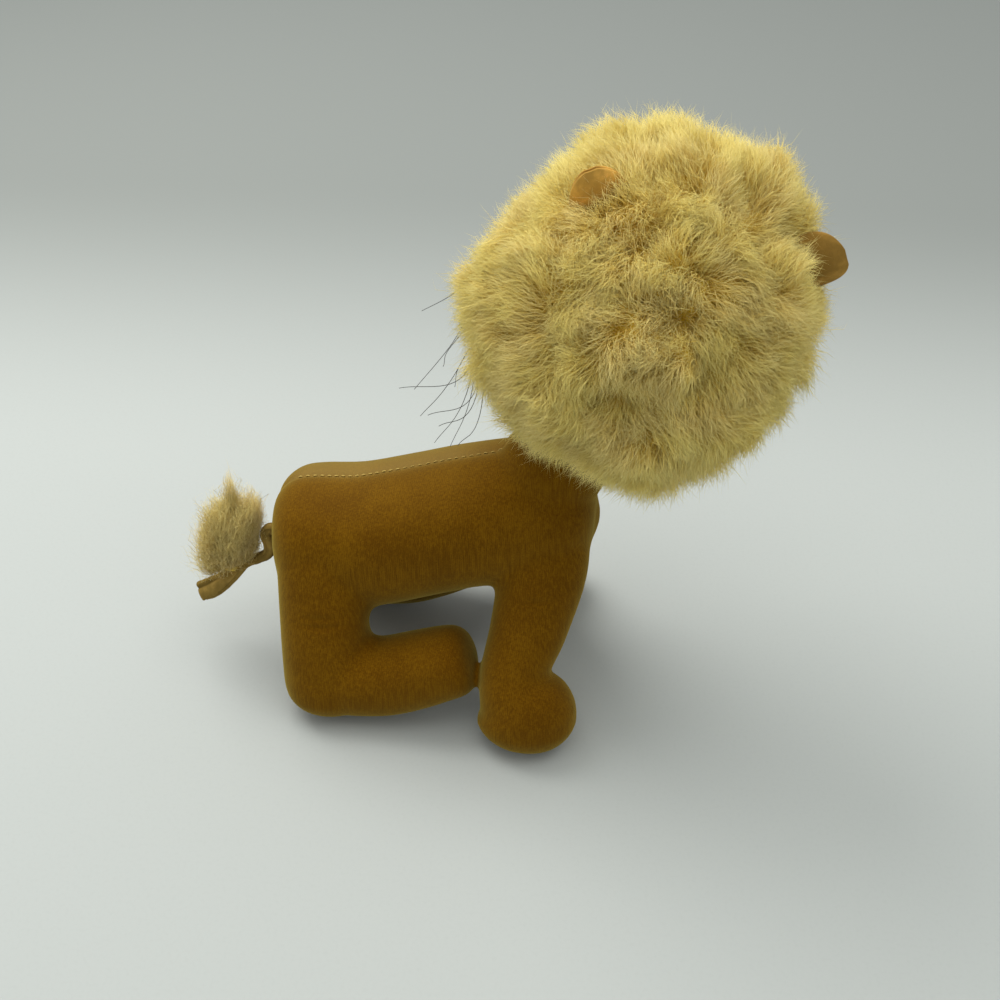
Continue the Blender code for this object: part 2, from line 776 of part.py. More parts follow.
def make_face(head_frame):
    """The muzzle, nose and eyes."""
    centre = Vector((0, 0, head_centre()))
    face = empty("face_frame", head_frame, centre, face_turn())
    drop = Vector((0, 0, -MUZZLE_DROP))
    front = math.sqrt(HEAD_RADIUS**2 - MUZZLE_DROP**2)

    def muzzle_stations():
        start = front - MUZZLE_ROUNDING
        return [
            (drop + Vector((start + MUZZLE_REACH * s, 0, 0)), MUZZLE_WIDTH / 2 * w,
             MUZZLE_HEIGHT / 2 * w)
            for s, w in MUZZLE_SHARES
        ]

    ends = ((MUZZLE_ROUNDING / 2, 0), (MUZZLE_ROUNDING, COVER_THICKNESS))
    muzzle = stuffed_form(
        "muzzle", muzzle_stations(), 16, 3, *ends, face, VELVETEEN
    )
    muzzle_room = stuffed_form("room_for_muzzle", muzzle_stations(), 16, 3, *ends, face, inset=-GAP)
    ball = [(0, -HEAD_RADIUS - GAP)]
    ball += reversed(arc((0, 0), HEAD_RADIUS + GAP, math.pi / 16, math.pi * 15 / 16, 14))
    ball += [(0, HEAD_RADIUS + GAP)]
    head_room = lathe("room_for_head", ball, 28, face)
    combine(muzzle, head_room)

    tip = muzzle_stations()[-1][0] + Vector((-NOSE_REACH, 0, NOSE_RISE))
    nose_stations = [
        (tip + Vector((2 * NOSE_REACH * s, 0, 0)), NOSE_WIDTH / 2 * w, NOSE_HEIGHT / 2 * w)
        for s, w in NOSE_SHARES
    ]
    nose = stuffed_form(
        "nose", nose_stations, 12, 2, (NOSE_ROUNDING / 2, 0), (NOSE_ROUNDING, 0), face,
        NOSE_THREAD,
    )
    combine(nose, muzzle_room)

    for side, word in ((1, "left"), (-1, "right")):
        turn = (
            Matrix.Rotation(side * EYE_SIDE, 4, "Z")
            @ Matrix.Rotation(math.pi / 2 - EYE_RISE, 4, "Y")
        )
        seat = turn @ Vector((0, 0, HEAD_RADIUS + GAP))
        eye_frame = empty(f"eye_frame_{word}", face, seat, turn)
        swell = (EYE_RADIUS**2 + EYE_HEIGHT**2) / (2 * EYE_HEIGHT)
        reach = math.asin(EYE_RADIUS / swell)
        dome = arc((0, EYE_HEIGHT - swell), swell, 0, reach, 5)
        dome[0] = (0, EYE_HEIGHT)
        lathe(f"eye_{word}", dome + [(0, 0)], 14, eye_frame, DARK_GLASS)


def ear_layer(name, frame, near, far, parent_finish, grow=0.0):
    """One cupped layer of an ear between two offsets, rounded like half an ellipse."""
    half = EAR_WIDTH / 2 + grow
    length = EAR_LENGTH + grow
    rows, columns = 4, 6
    sheets = []
    for offset in (near - grow, far + grow):
        sheet = []
        for r in range(rows + 1):
            up = math.sin(r / rows * math.pi / 2)
            wide = half * math.sqrt(1 - (EAR_TAPER_SHARE * up) ** 2)
            cup = EAR_CUP * (1 - EAR_FLATTER_SHARE * up)
            sheet.append([
                Vector((offset + cup * u * u, wide * u, length * up - grow))
                for u in (2 * c / columns - 1 for c in range(columns + 1))
            ])
        sheets.append(sheet)
    points = [point for sheet in sheets for row in sheet for point in row]
    width = columns + 1
    count = (rows + 1) * width
    faces = []
    for r in range(rows):
        for c in range(columns):
            a = r * width + c
            faces.append((a, a + 1, a + width + 1, a + width))
            faces.append((count + a, count + a + width, count + a + width + 1, count + a + 1))
    rim = list(range(width))
    rim += [r * width + columns for r in range(1, rows + 1)]
    rim += [rows * width + c for c in range(columns - 1, -1, -1)]
    rim += [r * width for r in range(rows - 1, 0, -1)]
    for a, b in zip(rim, rim[1:] + rim[:1]):
        faces.append((a, b, count + b, count + a))
    return solid(name, points, faces, frame, parent_finish)


def make_ears(head_frame):
    """The two layers of each ear, and the slots that they leave in the mane."""
    centre = Vector((0, 0, head_centre()))
    seat = Vector((0, 0, MANE_RADIUS - EAR_SINK))
    slots = []
    for side, word in ((1, "left"), (-1, "right")):
        turn = Matrix.Rotation(-side * EAR_SIDE, 4, "X") @ Matrix.Rotation(-EAR_BACK, 4, "Y")
        frame = empty(f"ear_frame_{word}", head_frame, centre + turn @ seat, turn)
        ear_layer(f"ear_back_{word}", frame, -EAR_LAYER - GAP / 2, -GAP / 2, VELVETEEN)
        ear_layer(f"ear_lining_{word}", frame, GAP / 2, EAR_LAYER + GAP / 2, EAR_CLOTH)
        slots.append(
            ear_layer(
                f"slot_for_ear_{word}", frame, -EAR_LAYER - GAP / 2, EAR_LAYER + GAP / 2, None,
                grow=GAP,
            )
        )
    return slots


def mirrored(shares, side):
    """A direction on the left side of the head, or its twin on the right."""
    return Vector((shares[0], side * shares[1], shares[2]))


def make_whiskers(head_frame):
    """Stiff threads that spread from a knot on each side of the muzzle and sweep back."""
    centre = Vector((0, 0, head_centre()))
    front = math.sqrt(HEAD_RADIUS**2 - MUZZLE_DROP**2)
    reach = MANE_RADIUS + WHISKER_STAND
    for side, word in ((1, "left"), (-1, "right")):
        knot_place = centre + face_turn() @ Vector((
            front + MUZZLE_REACH / 3, side * (MUZZLE_WIDTH / 2 + WHISKER_KNOT + GAP), -MUZZLE_DROP
        ))
        knot_profile = arc((0, 0), WHISKER_KNOT, 0, math.pi, 5)
        knot_profile[0] = (0, WHISKER_KNOT)
        knot_profile[-1] = (0, -WHISKER_KNOT)
        knot = lathe(
            f"whiskers_{word}", knot_profile, 8, head_frame, WHISKER_THREAD, place=knot_place
        )
        bow = knot_place + mirrored(WHISKER_BOW_SHARES[word], side) * mane_thickness()
        for number, shares in enumerate(WHISKER_TIP_SHARES[word]):
            tip = centre + mirrored(shares, side) * reach
            places = []
            for k in range(9):
                t = k / 8
                places.append(
                    knot_place * (1 - t) ** 2 + bow * (2 * t * (1 - t)) + tip * t**2
                )
            thread = wire(f"whisker_{word}_{number}", places, WHISKER_RADIUS, 4, head_frame)
            combine(knot, thread, "UNION")


def make_tail(tail_frame):
    """The folded strip, sewn to the rump at its top, and the tuft at its end."""
    drop_end = Vector((0, 0, -TAIL_HANG))
    tip = drop_end + Vector((-TAIL_REACH, 0, -TAIL_DROP))
    stations = [
        Vector((0, 0, 0)),
        Vector((0, 0, -TAIL_HANG + TAIL_BEND)),
        drop_end + Vector((-TAIL_BEND, 0, 0)),
        tip,
    ]
    half = TAIL_THICKNESS / 2
    strip_stations = [
        (place, wide * TAIL_WIDTH / 2, thick * half)
        for place, (wide, thick) in zip(stations, TAIL_SHARES)
    ]
    ends = ((half / 2, 0), (half / 2, 0))
    stuffed_form("tail_strip", strip_stations, 8, 10, *ends, tail_frame, VELVETEEN)
    strip_room = stuffed_form(
        "room_for_tail_strip", strip_stations, 8, 10, *ends, tail_frame, inset=-GAP
    )
    foot = drop_end + (tip - drop_end) * TUFT_SEAT_SHARE + Vector((0, 0, TUFT_STAND))
    tuft_stations = [
        (
            foot + Vector((TUFT_LEAN * lean, 0, TUFT_HEIGHT * up)),
            wide * TUFT_WIDTH / 2,
            long * TUFT_LENGTH / 2,
        )
        for up, lean, wide, long in TUFT_SHARES
    ]
    tuft = stuffed_form(
        "tail_tuft", tuft_stations, 12, 8, (half / 2, 0), (half / 2, half), tail_frame, MOHAIR
    )
    combine(tuft, strip_room)


def stand_on_origin(lion):
    """Moves the whole toy so that the origin is under the middle of its box."""
    bpy.context.view_layer.update()
    graph = bpy.context.evaluated_depsgraph_get()
    low, high = Vector((math.inf,) * 3), Vector((-math.inf,) * 3)
    for thing in bpy.context.scene.objects:
        if thing.type == "EMPTY" or thing.hide_render:
            continue
        seen = thing.evaluated_get(graph)
        for vertex in seen.to_mesh().vertices:
            place = seen.matrix_world @ vertex.co
            low = Vector(map(min, low, place))
            high = Vector(map(max, high, place))
        seen.to_mesh_clear()
    lion.location = Vector((-(low.x + high.x) / 2, -(low.y + high.y) / 2, -low.z))
    bpy.context.view_layer.update()


def make_lion():
    """Builds every piece round its frames."""
    clear_scene()
    lion = empty("lion", None, Vector())
    lean = Matrix.Rotation(NECK_LEAN, 4, "Y")
    neck_face = neck_stations()[-1][0]
    neck_frame = empty("neck_frame", lion, neck_face + lean @ Vector((0, 0, GAP / 2)), lean)
    head_frame = empty("head_pivot", neck_frame, Vector(), Matrix.Rotation(HEAD_TURN, 4, "Z"))
    half = TAIL_THICKNESS / 2
    tail_frame = empty("tail_pivot", lion, Vector((-RUMP_CROWN - GAP - half, 0, TAIL_HEIGHT)))
    make_body(lion, neck_frame)
    make_neck_joint(neck_frame, head_frame)
    make_head_ball(head_frame)
    slots = make_ears(head_frame)
    make_mane(head_frame, slots)
    make_face(head_frame)
    make_whiskers(head_frame)
    make_tail(tail_frame)
    stand_on_origin(lion)
    for frame in (head_frame, tail_frame):
        where = frame.matrix_world.translation
        print(frame.name, [round(value, 6) for value in where])


make_lion()
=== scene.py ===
"""The looks of a small stuffed lion: a velveteen body on splayed legs, a mohair mane and a tufted tail.

It is laid out as an add-on and run as a script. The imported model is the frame, and every piece here
is placed from its joints and boxes. Lengths are in metres: +X is the way the body faces, +Y its left.
"""

import json
import math

import bmesh
import bpy
import numpy as np
from bpy.props import FloatProperty, FloatVectorProperty, IntProperty, PointerProperty
from mathutils import Matrix, Vector, noise
from mathutils.bvhtree import BVHTree
from mathutils.kdtree import KDTree


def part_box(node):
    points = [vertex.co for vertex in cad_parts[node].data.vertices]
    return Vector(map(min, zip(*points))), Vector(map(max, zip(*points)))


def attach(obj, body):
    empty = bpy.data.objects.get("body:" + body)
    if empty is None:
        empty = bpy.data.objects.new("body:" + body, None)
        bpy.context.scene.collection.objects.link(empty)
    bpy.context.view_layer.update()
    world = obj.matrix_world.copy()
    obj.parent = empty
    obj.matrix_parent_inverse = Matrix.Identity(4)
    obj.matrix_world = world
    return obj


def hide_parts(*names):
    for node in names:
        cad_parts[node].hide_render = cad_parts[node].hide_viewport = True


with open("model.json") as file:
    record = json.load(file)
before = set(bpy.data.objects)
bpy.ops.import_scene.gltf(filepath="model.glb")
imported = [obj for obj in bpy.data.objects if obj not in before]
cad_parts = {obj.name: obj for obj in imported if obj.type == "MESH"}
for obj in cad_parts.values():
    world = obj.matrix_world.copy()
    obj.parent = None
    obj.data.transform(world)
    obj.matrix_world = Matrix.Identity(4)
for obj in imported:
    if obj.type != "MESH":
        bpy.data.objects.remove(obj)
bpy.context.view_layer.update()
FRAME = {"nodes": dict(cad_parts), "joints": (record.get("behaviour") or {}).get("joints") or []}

bl_info = {
    "name": "Stuffed lion",
    "version": (1, 0, 0),
    "blender": (4, 5, 0),
    "location": "View3D > Sidebar > Lion",
    "description": "Dresses the stuffed lion in velveteen, mohair, thread and glass",
    "category": "Object",
}

# Places taken from the frame
JOINTS = {joint["name"]: joint for joint in FRAME["joints"]}
NECK_FACE = Vector(JOINTS["head_swivel"]["pos_m"])
NECK_AXIS = Vector(JOINTS["head_swivel"]["axis"]).normalized()
RUMP = Vector((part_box("torso_cover")[0].x + 0.0015, NECK_FACE.y, 0))

# Rows of the body's forms: x, side, height, width and depth or length, in shares of their own sizes
TRUNK_SHARES = (
    (0.012, 0, 0.665, 0.90, 0.93),
    (0.150, 0, 0.676, 1.01, 0.98),
    (0.307, 0, 0.707, 1.03, 0.933),
    (0.486, 0, 0.783, 1.02, 0.905),
    (0.642, 0, 0.847, 1.01, 0.905),
    (0.827, 0, 0.879, 0.97, 0.985),
    (0.998, 0, 0.868, 0.91, 0.930),
)
NECK_SHARES = ((0.793, 0, 0.947, 1.20, 1.20), (0.916, 0, 1.250, 1.08, 1.08), (0.978, 0, 1.464, 1.00, 1.00))
FRONT_LEG_SHARES = (
    (0.855, 0.22, 0.870, 1.04, 1.14),
    (0.848, 0.38, 0.700, 1.04, 1.13),
    (0.816, 0.60, 0.490, 0.97, 1.00),
    (0.779, 0.83, 0.310, 0.96, 0.90),
)
PAW_SHARES = ((0.816, 0.97, 0.180, 0.98, 1.02), (0.821, 1.00, 0.075, 1.01, 1.04), (0.820, 1.0, 0.0, 1.0, 1.0))
HIND_LEG_SHARES = (
    (0.168, 0.36, 0.760, 0.98, 1.04),
    (0.170, 0.60, 0.560, 0.98, 1.02),
    (0.177, 0.84, 0.340, 1.02, 1.02),
    (0.185, 0.98, 0.165, 1.05, 1.04),
    (0.188, 1.00, 0.080, 1.05, 1.04),
    (0.189, 1.00, 0.000, 1.03, 1.02),
)
FOOT_SHARES = (
    (0.320, 1, 0.530, 1.02, 1.03),
    (0.560, 1, 0.585, 1.04, 1.03),
    (0.720, 1, 0.730, 1.04, 1.00),
    (0.860, 1, 0.885, 1.01, 0.93),
    (1.000, 1, 1.020, 0.95, 0.83),
)


def length(name, default, description):
    return FloatProperty(name=name, description=description, default=default, unit="LENGTH", precision=4)


def angle(name, degrees, description):
    return FloatProperty(
        name=name, description=description, default=math.radians(degrees), subtype="ANGLE"
    )


def count(name, default, description):
    return IntProperty(name=name, description=description, default=default, min=10)


def colour(name, default, description):
    return FloatVectorProperty(
        name=name, description=description, default=default, subtype="COLOR", min=0, max=1, size=3
    )


class LionBodySizes(bpy.types.PropertyGroup):
    """Sizes of the trunk, the legs and the feet."""

    body_length: length("Body length", 0.0895, "From rump to chest")
    back_height: length("Back height", 0.0655, "The height that the legs and trunk are set out by")
    body_width: length("Body width", 0.0395, "Across the trunk")
    body_depth: length("Body depth", 0.0422, "From back to belly")
    rump_rounding: length("Rump rounding", 0.0092, "Radius of the rump's edge")
    chest_rounding: length("Chest rounding", 0.0130, "Radius of the chest's edge")
    neck_radius: length("Neck radius", 0.0125, "Radius of the neck where the head turns")
    leg_width: length("Front leg width", 0.0215, "Across a front leg")
    paw_spread: length("Paw spread", 0.0622, "Between the middles of the front paws")
    paw_width: length("Paw width", 0.0238, "Across a front paw")
    paw_length: length("Paw length", 0.0275, "From a front paw's heel to its toes")
    paw_rounding: length("Paw rounding", 0.0112, "Radius of a paw's lower edge")
    hind_width: length("Hind leg width", 0.0220, "Across a hind leg")
    hind_length: length("Hind leg length", 0.0245, "From the front to the back of a hind leg")
    hind_spread: length("Hind spread", 0.0458, "Between the middles of the heels")
    foot_reach: length("Foot reach", 0.0575, "From the rump's line to the hind toes")
    foot_width: length("Foot width", 0.0210, "Across a hind foot")
    foot_depth: length("Foot depth", 0.0222, "From the top to the sole of a hind foot")
    toe_rounding: length("Toe rounding", 0.0046, "Radius of a hind foot's end")
    weave_voxel: length("Skin grain", 0.00085, "How finely the skin is divided")
    stitch_pitch: length("Stitch pitch", 0.0020, "From one back stitch to the next")
    stitch_length: length("Stitch length", 0.0012, "Length of one back stitch")
    stitch_radius: length("Stitch radius", 0.00021, "Radius of the seam's thread")


class LionHeadSizes(bpy.types.PropertyGroup):
    """Sizes of the head, the mane, the ears and the whiskers."""

    head_radius: length("Head radius", 0.0315, "Radius of the head's ball")
    head_flat: length("Head flat", 0.0115, "Radius of the ball's flat at the neck")
    face_opening: angle("Face opening", 40, "Half angle of the face")
    face_tilt: angle("Face tilt", 8, "How far the face looks down")
    neck_radius_way: length("Neck way", 0.0160, "Radius of the mane's way for the neck")
    neck_way_angle: angle("Neck way's angle", 24, "Half angle about the neck where no hair grows")
    mane_radius: length("Mane radius", 0.0440, "Radius of the mane to the tips of its pile")
    pile: length("Pile", 0.0102, "Length of the mane's hair")
    hair_radius: length("Hair radius", 0.00007, "Radius of a hair at its root")
    tufts: count("Tufts", 620, "Number of large tufts in the mane")
    locks: count("Locks", 5200, "Number of small locks in the mane")
    hairs: count("Hairs", 104000, "Number of hairs in the mane")
    tuft_hairs: count("Tuft hairs", 14500, "Number of hairs in the tail's tuft")
    ear_width: length("Ear width", 0.0160, "Across an ear")
    ear_length: length("Ear length", 0.0160, "From an ear's seam to its tip")
    ear_seat: length("Ear seat", 0.0338, "From the head's centre to an ear's seam")
    ear_side: angle("Ear side", 44.5, "From the crown to an ear")
    ear_back: angle("Ear back", 13, "How far the ears lie behind the crown")
    ear_askew: angle("Ears askew", 3.2, "How far both ears sit to the right")
    muzzle_reach: length("Muzzle reach", 0.0100, "How far the muzzle stands out")
    muzzle_width: length("Muzzle width", 0.0210, "Across the muzzle")
    muzzle_height: length("Muzzle height", 0.0165, "From the muzzle's top to the chin")
    muzzle_drop: length("Muzzle drop", 0.0095, "From the face's middle down to the muzzle's")
    nose_width: length("Nose width", 0.0085, "Across the stitched nose")
    nose_height: length("Nose height", 0.0058, "From the nose's top to its point")
    nose_reach: length("Nose reach", 0.0026, "How far the nose stands out")
    whisker_radius: length("Whisker radius", 0.00013, "Radius of one whisker")


class LionColours(bpy.types.PropertyGroup):
    """Colours of the cloths and threads, as light values."""

    velveteen: colour("Velveteen", (0.117, 0.0462, 0.0009), "The nap seen straight on")
    velveteen_worn: colour("Rubbed nap", (0.182, 0.0815, 0.0022), "Where the nap is rubbed or lies over")
    # Painted highlight: the paler tone laid on the lit top of the back, and on the seam's groove
    velveteen_pale: colour("Pale nap", (0.300, 0.205, 0.060), "Where the nap is worn along the back")
    velveteen_deep: colour("Deep nap", (0.068, 0.0250, 0.0006), "Where the nap stands towards the eye")
    mohair: colour("Mohair", (0.950, 0.815, 0.300), "Tips of the pile")
    mohair_deep: colour("Mohair roots", (0.800, 0.520, 0.034), "Roots of the pile")
    tuft: colour("Tuft", (0.880, 0.740, 0.320), "Tips of the tail's tuft")
    tuft_deep: colour("Tuft roots", (0.560, 0.370, 0.075), "Roots of the tail's tuft")
    ear: colour("Ear cloth", (0.425, 0.242, 0.050), "The felted cloth of the ears")
    tail_cloth: colour("Tail cloth", (0.330, 0.215, 0.050), "The folded strip of the tail, faded")
    seam_thread: colour("Seam thread", (0.600, 0.410, 0.080), "The thread of the back seam")
    floor: colour("Floor", (0.500, 0.528, 0.505), "The pale sheet that the toy stands on")
    # Painted shade: the flat floor goes over to this darker tone far behind the toy, in place of a backdrop
    # that turns up
    backdrop_shade: colour("Wall", (0.287, 0.305, 0.287), "The sheet behind it, which turns up in shade")


class StuffedLion(bpy.types.PropertyGroup):
    """All values of the lion."""

    body: PointerProperty(type=LionBodySizes)
    head: PointerProperty(type=LionHeadSizes)
    colours: PointerProperty(type=LionColours)


# Shader expressions
class Socket:
    """A shader output that can stand in a Python expression."""

    def __init__(self, finish, output):
        self.finish = finish
        self.output = output

    def maths(self, operation, *values):
        return self.finish.add("ShaderNodeMath", {"operation": operation}, dict(enumerate(values)))

    def __add__(self, other):
        return self.maths("ADD", self, other)

    def __sub__(self, other):
        return self.maths("SUBTRACT", self, other)

    def __rsub__(self, other):
        return self.maths("SUBTRACT", other, self)

    def __mul__(self, other):
        return self.maths("MULTIPLY", self, other)

    __radd__ = __add__
    __rmul__ = __mul__

    def sine(self):
        return self.maths("SINE", self)


class Finish:
    """A material under construction."""

    def __init__(self, name):
        self.material = bpy.data.materials.new(name)
        self.material.use_nodes = True
        self.tree = self.material.node_tree
        self.spot = self.add("ShaderNodeTexCoord", {}, {}, "Object")

    def add(self, kind, settings, values, output=0):
        """A node of a kind, its settings made first, then its sockets. Gives one of its outputs."""
        node = self.tree.nodes.new(kind)
        for name, value in settings.items():
            setattr(node, name, value)
        self.put(node, values)
        return Socket(self, node.outputs[output])

    def put(self, node, values):
        """Links or sets inputs of a node. A tone of three numbers is made opaque."""
        for name, value in values.items():
            if isinstance(value, Socket):
                self.tree.links.new(value.output, node.inputs[name])
            elif node.inputs[name].type == "RGBA":
                node.inputs[name].default_value = (*value, 1)
            else:
                node.inputs[name].default_value = value

    def done(self, values):
        """Feeds the shader, and gives the material."""
        self.put(self.tree.nodes["Principled BSDF"], values)
        return self.material

    def noise(self, scale, detail=2.0, rough=0.5, distortion=0.0):
        return self.add("ShaderNodeTexNoise", {}, {
            "Vector": self.spot, "Scale": scale, "Detail": detail, "Roughness": rough,
            "Distortion": distortion,
        })

    def stretched_noise(self, scales, detail, rough):
        """Noise with a scale of its own along each axis."""
        place = self.add("ShaderNodeVectorMath", {"operation": "MULTIPLY"}, {0: self.spot, 1: scales})
        return self.add("ShaderNodeTexNoise", {}, {
            "Vector": place, "Scale": 1, "Detail": detail, "Roughness": rough
        })

    def attribute(self, name):
        return self.add("ShaderNodeAttribute", {"attribute_name": name}, {}, "Fac")

    def mix(self, factor, first, second):
        return self.add("ShaderNodeMix", {"data_type": "RGBA"}, {0: factor, 6: first, 7: second}, 2)

    def band(self, value, low, high):
        """0 below low, 1 above high, smooth between."""
        return self.add("ShaderNodeMapRange", {"interpolation_type": "SMOOTHSTEP"}, {
            "Value": value, "From Min": low, "From Max": high,
        })

    def bump(self, height, strength, distance):
        return self.add("ShaderNodeBump", {}, {"Height": height, "Strength": strength, "Distance": distance})


def toned(tone, *factors):
    """A tone times one factor, or times one for each of its channels."""
    return tuple(v * f for v, f in zip(tone, factors * (3 // len(factors))))


# Pitch of the velveteen's ribs, and how far they wander
RIB_PITCH = 0.00052
RIB_WANDER = 0.00060


def velveteen_finish(name, palette, lift=1.0):
    """Short cotton pile: the faint grain of the weave, patches where the nap lies over, a sheen, and a
    painted highlight where the edge attribute asks for it.
    """
    finish = Finish(name)
    middle, worn, pale, deep = (toned(tone, lift) for tone in (
        palette.velveteen, palette.velveteen_worn, palette.velveteen_pale, palette.velveteen_deep
    ))
    patches = finish.noise(80, 3, 0.55)
    brushed = finish.stretched_noise((1800, 1800, 130), 3, 0.6)
    fuzz = finish.stretched_noise((2800, 2800, 2000), 2, 0.6)
    across = finish.attribute("weave") + finish.stretched_noise((260, 260, 60), 2, 0.5) * RIB_WANDER
    ribs = (across * (2 * math.pi / RIB_PITCH)).sine() * 0.5 + 0.5
    shade = finish.mix(finish.band(patches * 0.35 + brushed * 0.65, 0.36, 0.66), middle, worn)
    shade = finish.mix(finish.band(ribs * 0.20 + fuzz * 0.80, 0.58, 0.30) * 0.42, shade, deep)
    shade = finish.mix(finish.band(fuzz, 0.56, 0.80) * 0.30, shade, toned(worn, 1.40))
    # Painted highlight: the paler tone goes where the edge attribute marks the lit top of the back and the
    # seam's groove
    return finish.done({
        "Base Color": finish.mix(finish.attribute("edge") * 0.55, shade, pale),
        "Normal": finish.bump(ribs * 0.12 + fuzz * 0.9 + brushed * 0.4, 0.30, 0.00022),
        "Roughness": 0.95, "Specular IOR Level": 0.04,
        "Sheen Weight": 0.34, "Sheen Roughness": 0.42, "Sheen Tint": (1.0, 0.90, 0.22),
    })


def mohair_finish(name, tip, root):
    """Long brushed pile, deep at its roots and pale at its tips, with yellower and greyer patches."""
    finish = Finish(name)
    own = finish.attribute("tint")
    patches = finish.band(finish.noise(60, 3, 0.6), 0.42, 0.64)
    pale = finish.mix(patches, toned(tip, 1, 0.98, 0.80), toned(tip, 0.97, 0.925, 0.90))
    shade = finish.mix(finish.band(finish.attribute("along") + own * 0.35, 0.10, 1.05), root, pale)
    bleached = tuple(v + (0.9 - v) * 0.18 for v in tip)
    return finish.done({
        "Base Color": finish.mix(own * 0.35, shade, bleached), "Roughness": 0.6, "Specular IOR Level": 0.2,
    })


def underfur_finish(name, palette):
    """The matted ground under the pile."""
    finish = Finish(name)
    tufts = finish.noise(420, 3, 0.6)
    strands = finish.noise(2300, 2, 0.6, 0.4)
    matted = finish.band(tufts * 0.6 + strands * 0.4, 0.32, 0.66)
    return finish.done({
        "Base Color": finish.mix(matted, palette.mohair_deep, toned(palette.mohair, 0.90, 0.78, 0.45)),
        "Normal": finish.bump(strands + tufts, 0.7, 0.0008), "Roughness": 0.9, "Specular IOR Level": 0.1,
    })


def felt_finish(name, tone):
    """Felted cloth, rubbed paler in patches."""
    finish = Finish(name)
    patches = finish.noise(130, 3, 0.6)
    fuzz = finish.noise(1500, 3, 0.7)
    shade = finish.mix(finish.band(patches, 0.38, 0.66), toned(tone, 0.62), tone)
    rubbed = finish.band(fuzz * 0.5 + patches * 0.5, 0.50, 0.70) * 0.6
    return finish.done({
        "Base Color": finish.mix(rubbed, shade, toned(tone, 1.30, 1.25, 1.7)),
        "Normal": finish.bump(fuzz, 0.4, 0.0003), "Roughness": 0.95, "Specular IOR Level": 0.08,
    })


def thread_finish(name, tone, rough=0.6):
    """Twisted thread: a fine diagonal ply in its colour and height."""
    finish = Finish(name)
    ply = finish.stretched_noise((5200, 5200, 2400), 2, 0.5)
    return finish.done({
        "Base Color": finish.mix(finish.band(ply, 0.35, 0.65), toned(tone, 0.65), tone),
        "Normal": finish.bump(ply, 0.4, 0.0001), "Roughness": rough,
    })


def glass_bead_finish(name):
    """Dark polished bead with faint specks of dust."""
    finish = Finish(name)
    specks = finish.noise(1800, 2, 0.5)
    dust = finish.band(specks, 0.66, 0.8) * 0.3
    return finish.done({
        "Base Color": finish.mix(dust, (0.010, 0.006, 0.004), (0.08, 0.05, 0.03)),
        "Roughness": finish.band(specks, 0.3, 0.8) * 0.08 + 0.05, "Coat Weight": 0.6,
    })


def board_finish(name):
    """Pressed board of the neck discs."""
    finish = Finish(name)
    fibres = finish.noise(700, 4, 0.7)
    return finish.done({
        "Base Color": finish.mix(finish.band(fibres, 0.35, 0.7), (0.17, 0.10, 0.055), (0.33, 0.21, 0.12)),
        "Normal": finish.bump(fibres, 0.3, 0.0002), "Roughness": 0.8,
    })


def steel_finish(name):
    """Drawn wire and punched washers, dull with age."""
    finish = Finish(name)
    marks = finish.noise(1200, 3, 0.6)
    return finish.done({
        "Base Color": finish.mix(finish.band(marks, 0.4, 0.7), (0.34, 0.32, 0.30), (0.56, 0.56, 0.57)),
        "Metallic": 1.0, "Roughness": finish.band(marks, 0.3, 0.8) * 0.25 + 0.3,
    })


# Mesh helpers
def new_object(name, material, points, *faces):
    """An object from arrays. Each array of faces holds rows of corner numbers, all of one count."""
    mesh = bpy.data.meshes.new(name)
    corners = np.concatenate([np.ravel(rows) for rows in faces]).astype(np.int32)
    counts = np.concatenate([np.full(len(rows), len(rows[0])) for rows in faces])
    mesh.vertices.add(len(points))
    mesh.vertices.foreach_set("co", np.asarray(points, np.float32).ravel())
    mesh.loops.add(len(corners))
    mesh.loops.foreach_set("vertex_index", corners)
    mesh.polygons.add(len(counts))
    mesh.polygons.foreach_set("loop_start", (np.cumsum(counts) - counts).astype(np.int32))
    mesh.update(calc_edges=True)
    mesh.validate()
    thing = bpy.data.objects.new(name, mesh)
    bpy.context.scene.collection.objects.link(thing)
    if material is not None:
        mesh.materials.append(material)
    mesh.shade_smooth()
    return thing


def put_attribute(mesh, name, values):
    attribute = mesh.attributes.new(name, "FLOAT", "POINT")
    attribute.data.foreach_set("value", np.asarray(values, np.float32))


def vertex_rows(mesh, what="co"):
    """Places or normals of a mesh's vertices."""
    rows = np.zeros(len(mesh.vertices) * 3, np.float32)
    mesh.vertices.foreach_get(what, rows)
    return rows.reshape(-1, 3).astype(float)


def full_turn(around):
    return np.linspace(0, 2 * math.pi, around, endpoint=False)


def unit(rows):
    return rows / (np.linalg.norm(rows, axis=-1, keepdims=True) + 1e-12)


def moved(matrix, points):
    m = np.array(matrix)
    return points @ m[:3, :3].T + m[:3, 3]


def closed_form(start, rings, end):
    """Points, triangles and quads of a closed skin over rings of points, with a pole at each end."""
    points = np.vstack([start, *rings, end])
    around, last = len(rings[0]), len(points) - 1
    here = np.arange(around)
    after = (here + 1) % around
    rows = 1 + around * np.arange(len(rings) - 1)[:, None]
    a, b = (rows + here).ravel(), (rows + after).ravel()
    pole = np.zeros(around, int)
    triangles = np.vstack([
        np.stack([pole, 1 + after, 1 + here], axis=1),
        np.stack([last - around + here, last - around + after, pole + last], axis=1),
    ])
    return points, triangles, np.stack([a, b, b + around, a + around], axis=1)


def joined(forms):
    """The points, triangles and quads of several forms as one."""
    shifts = np.cumsum([0] + [len(points) for points, _, _ in forms])
    points = np.vstack([form[0] for form in forms])
    return points, *(np.vstack([form[k] + shift for form, shift in zip(forms, shifts)]) for k in (1, 2))


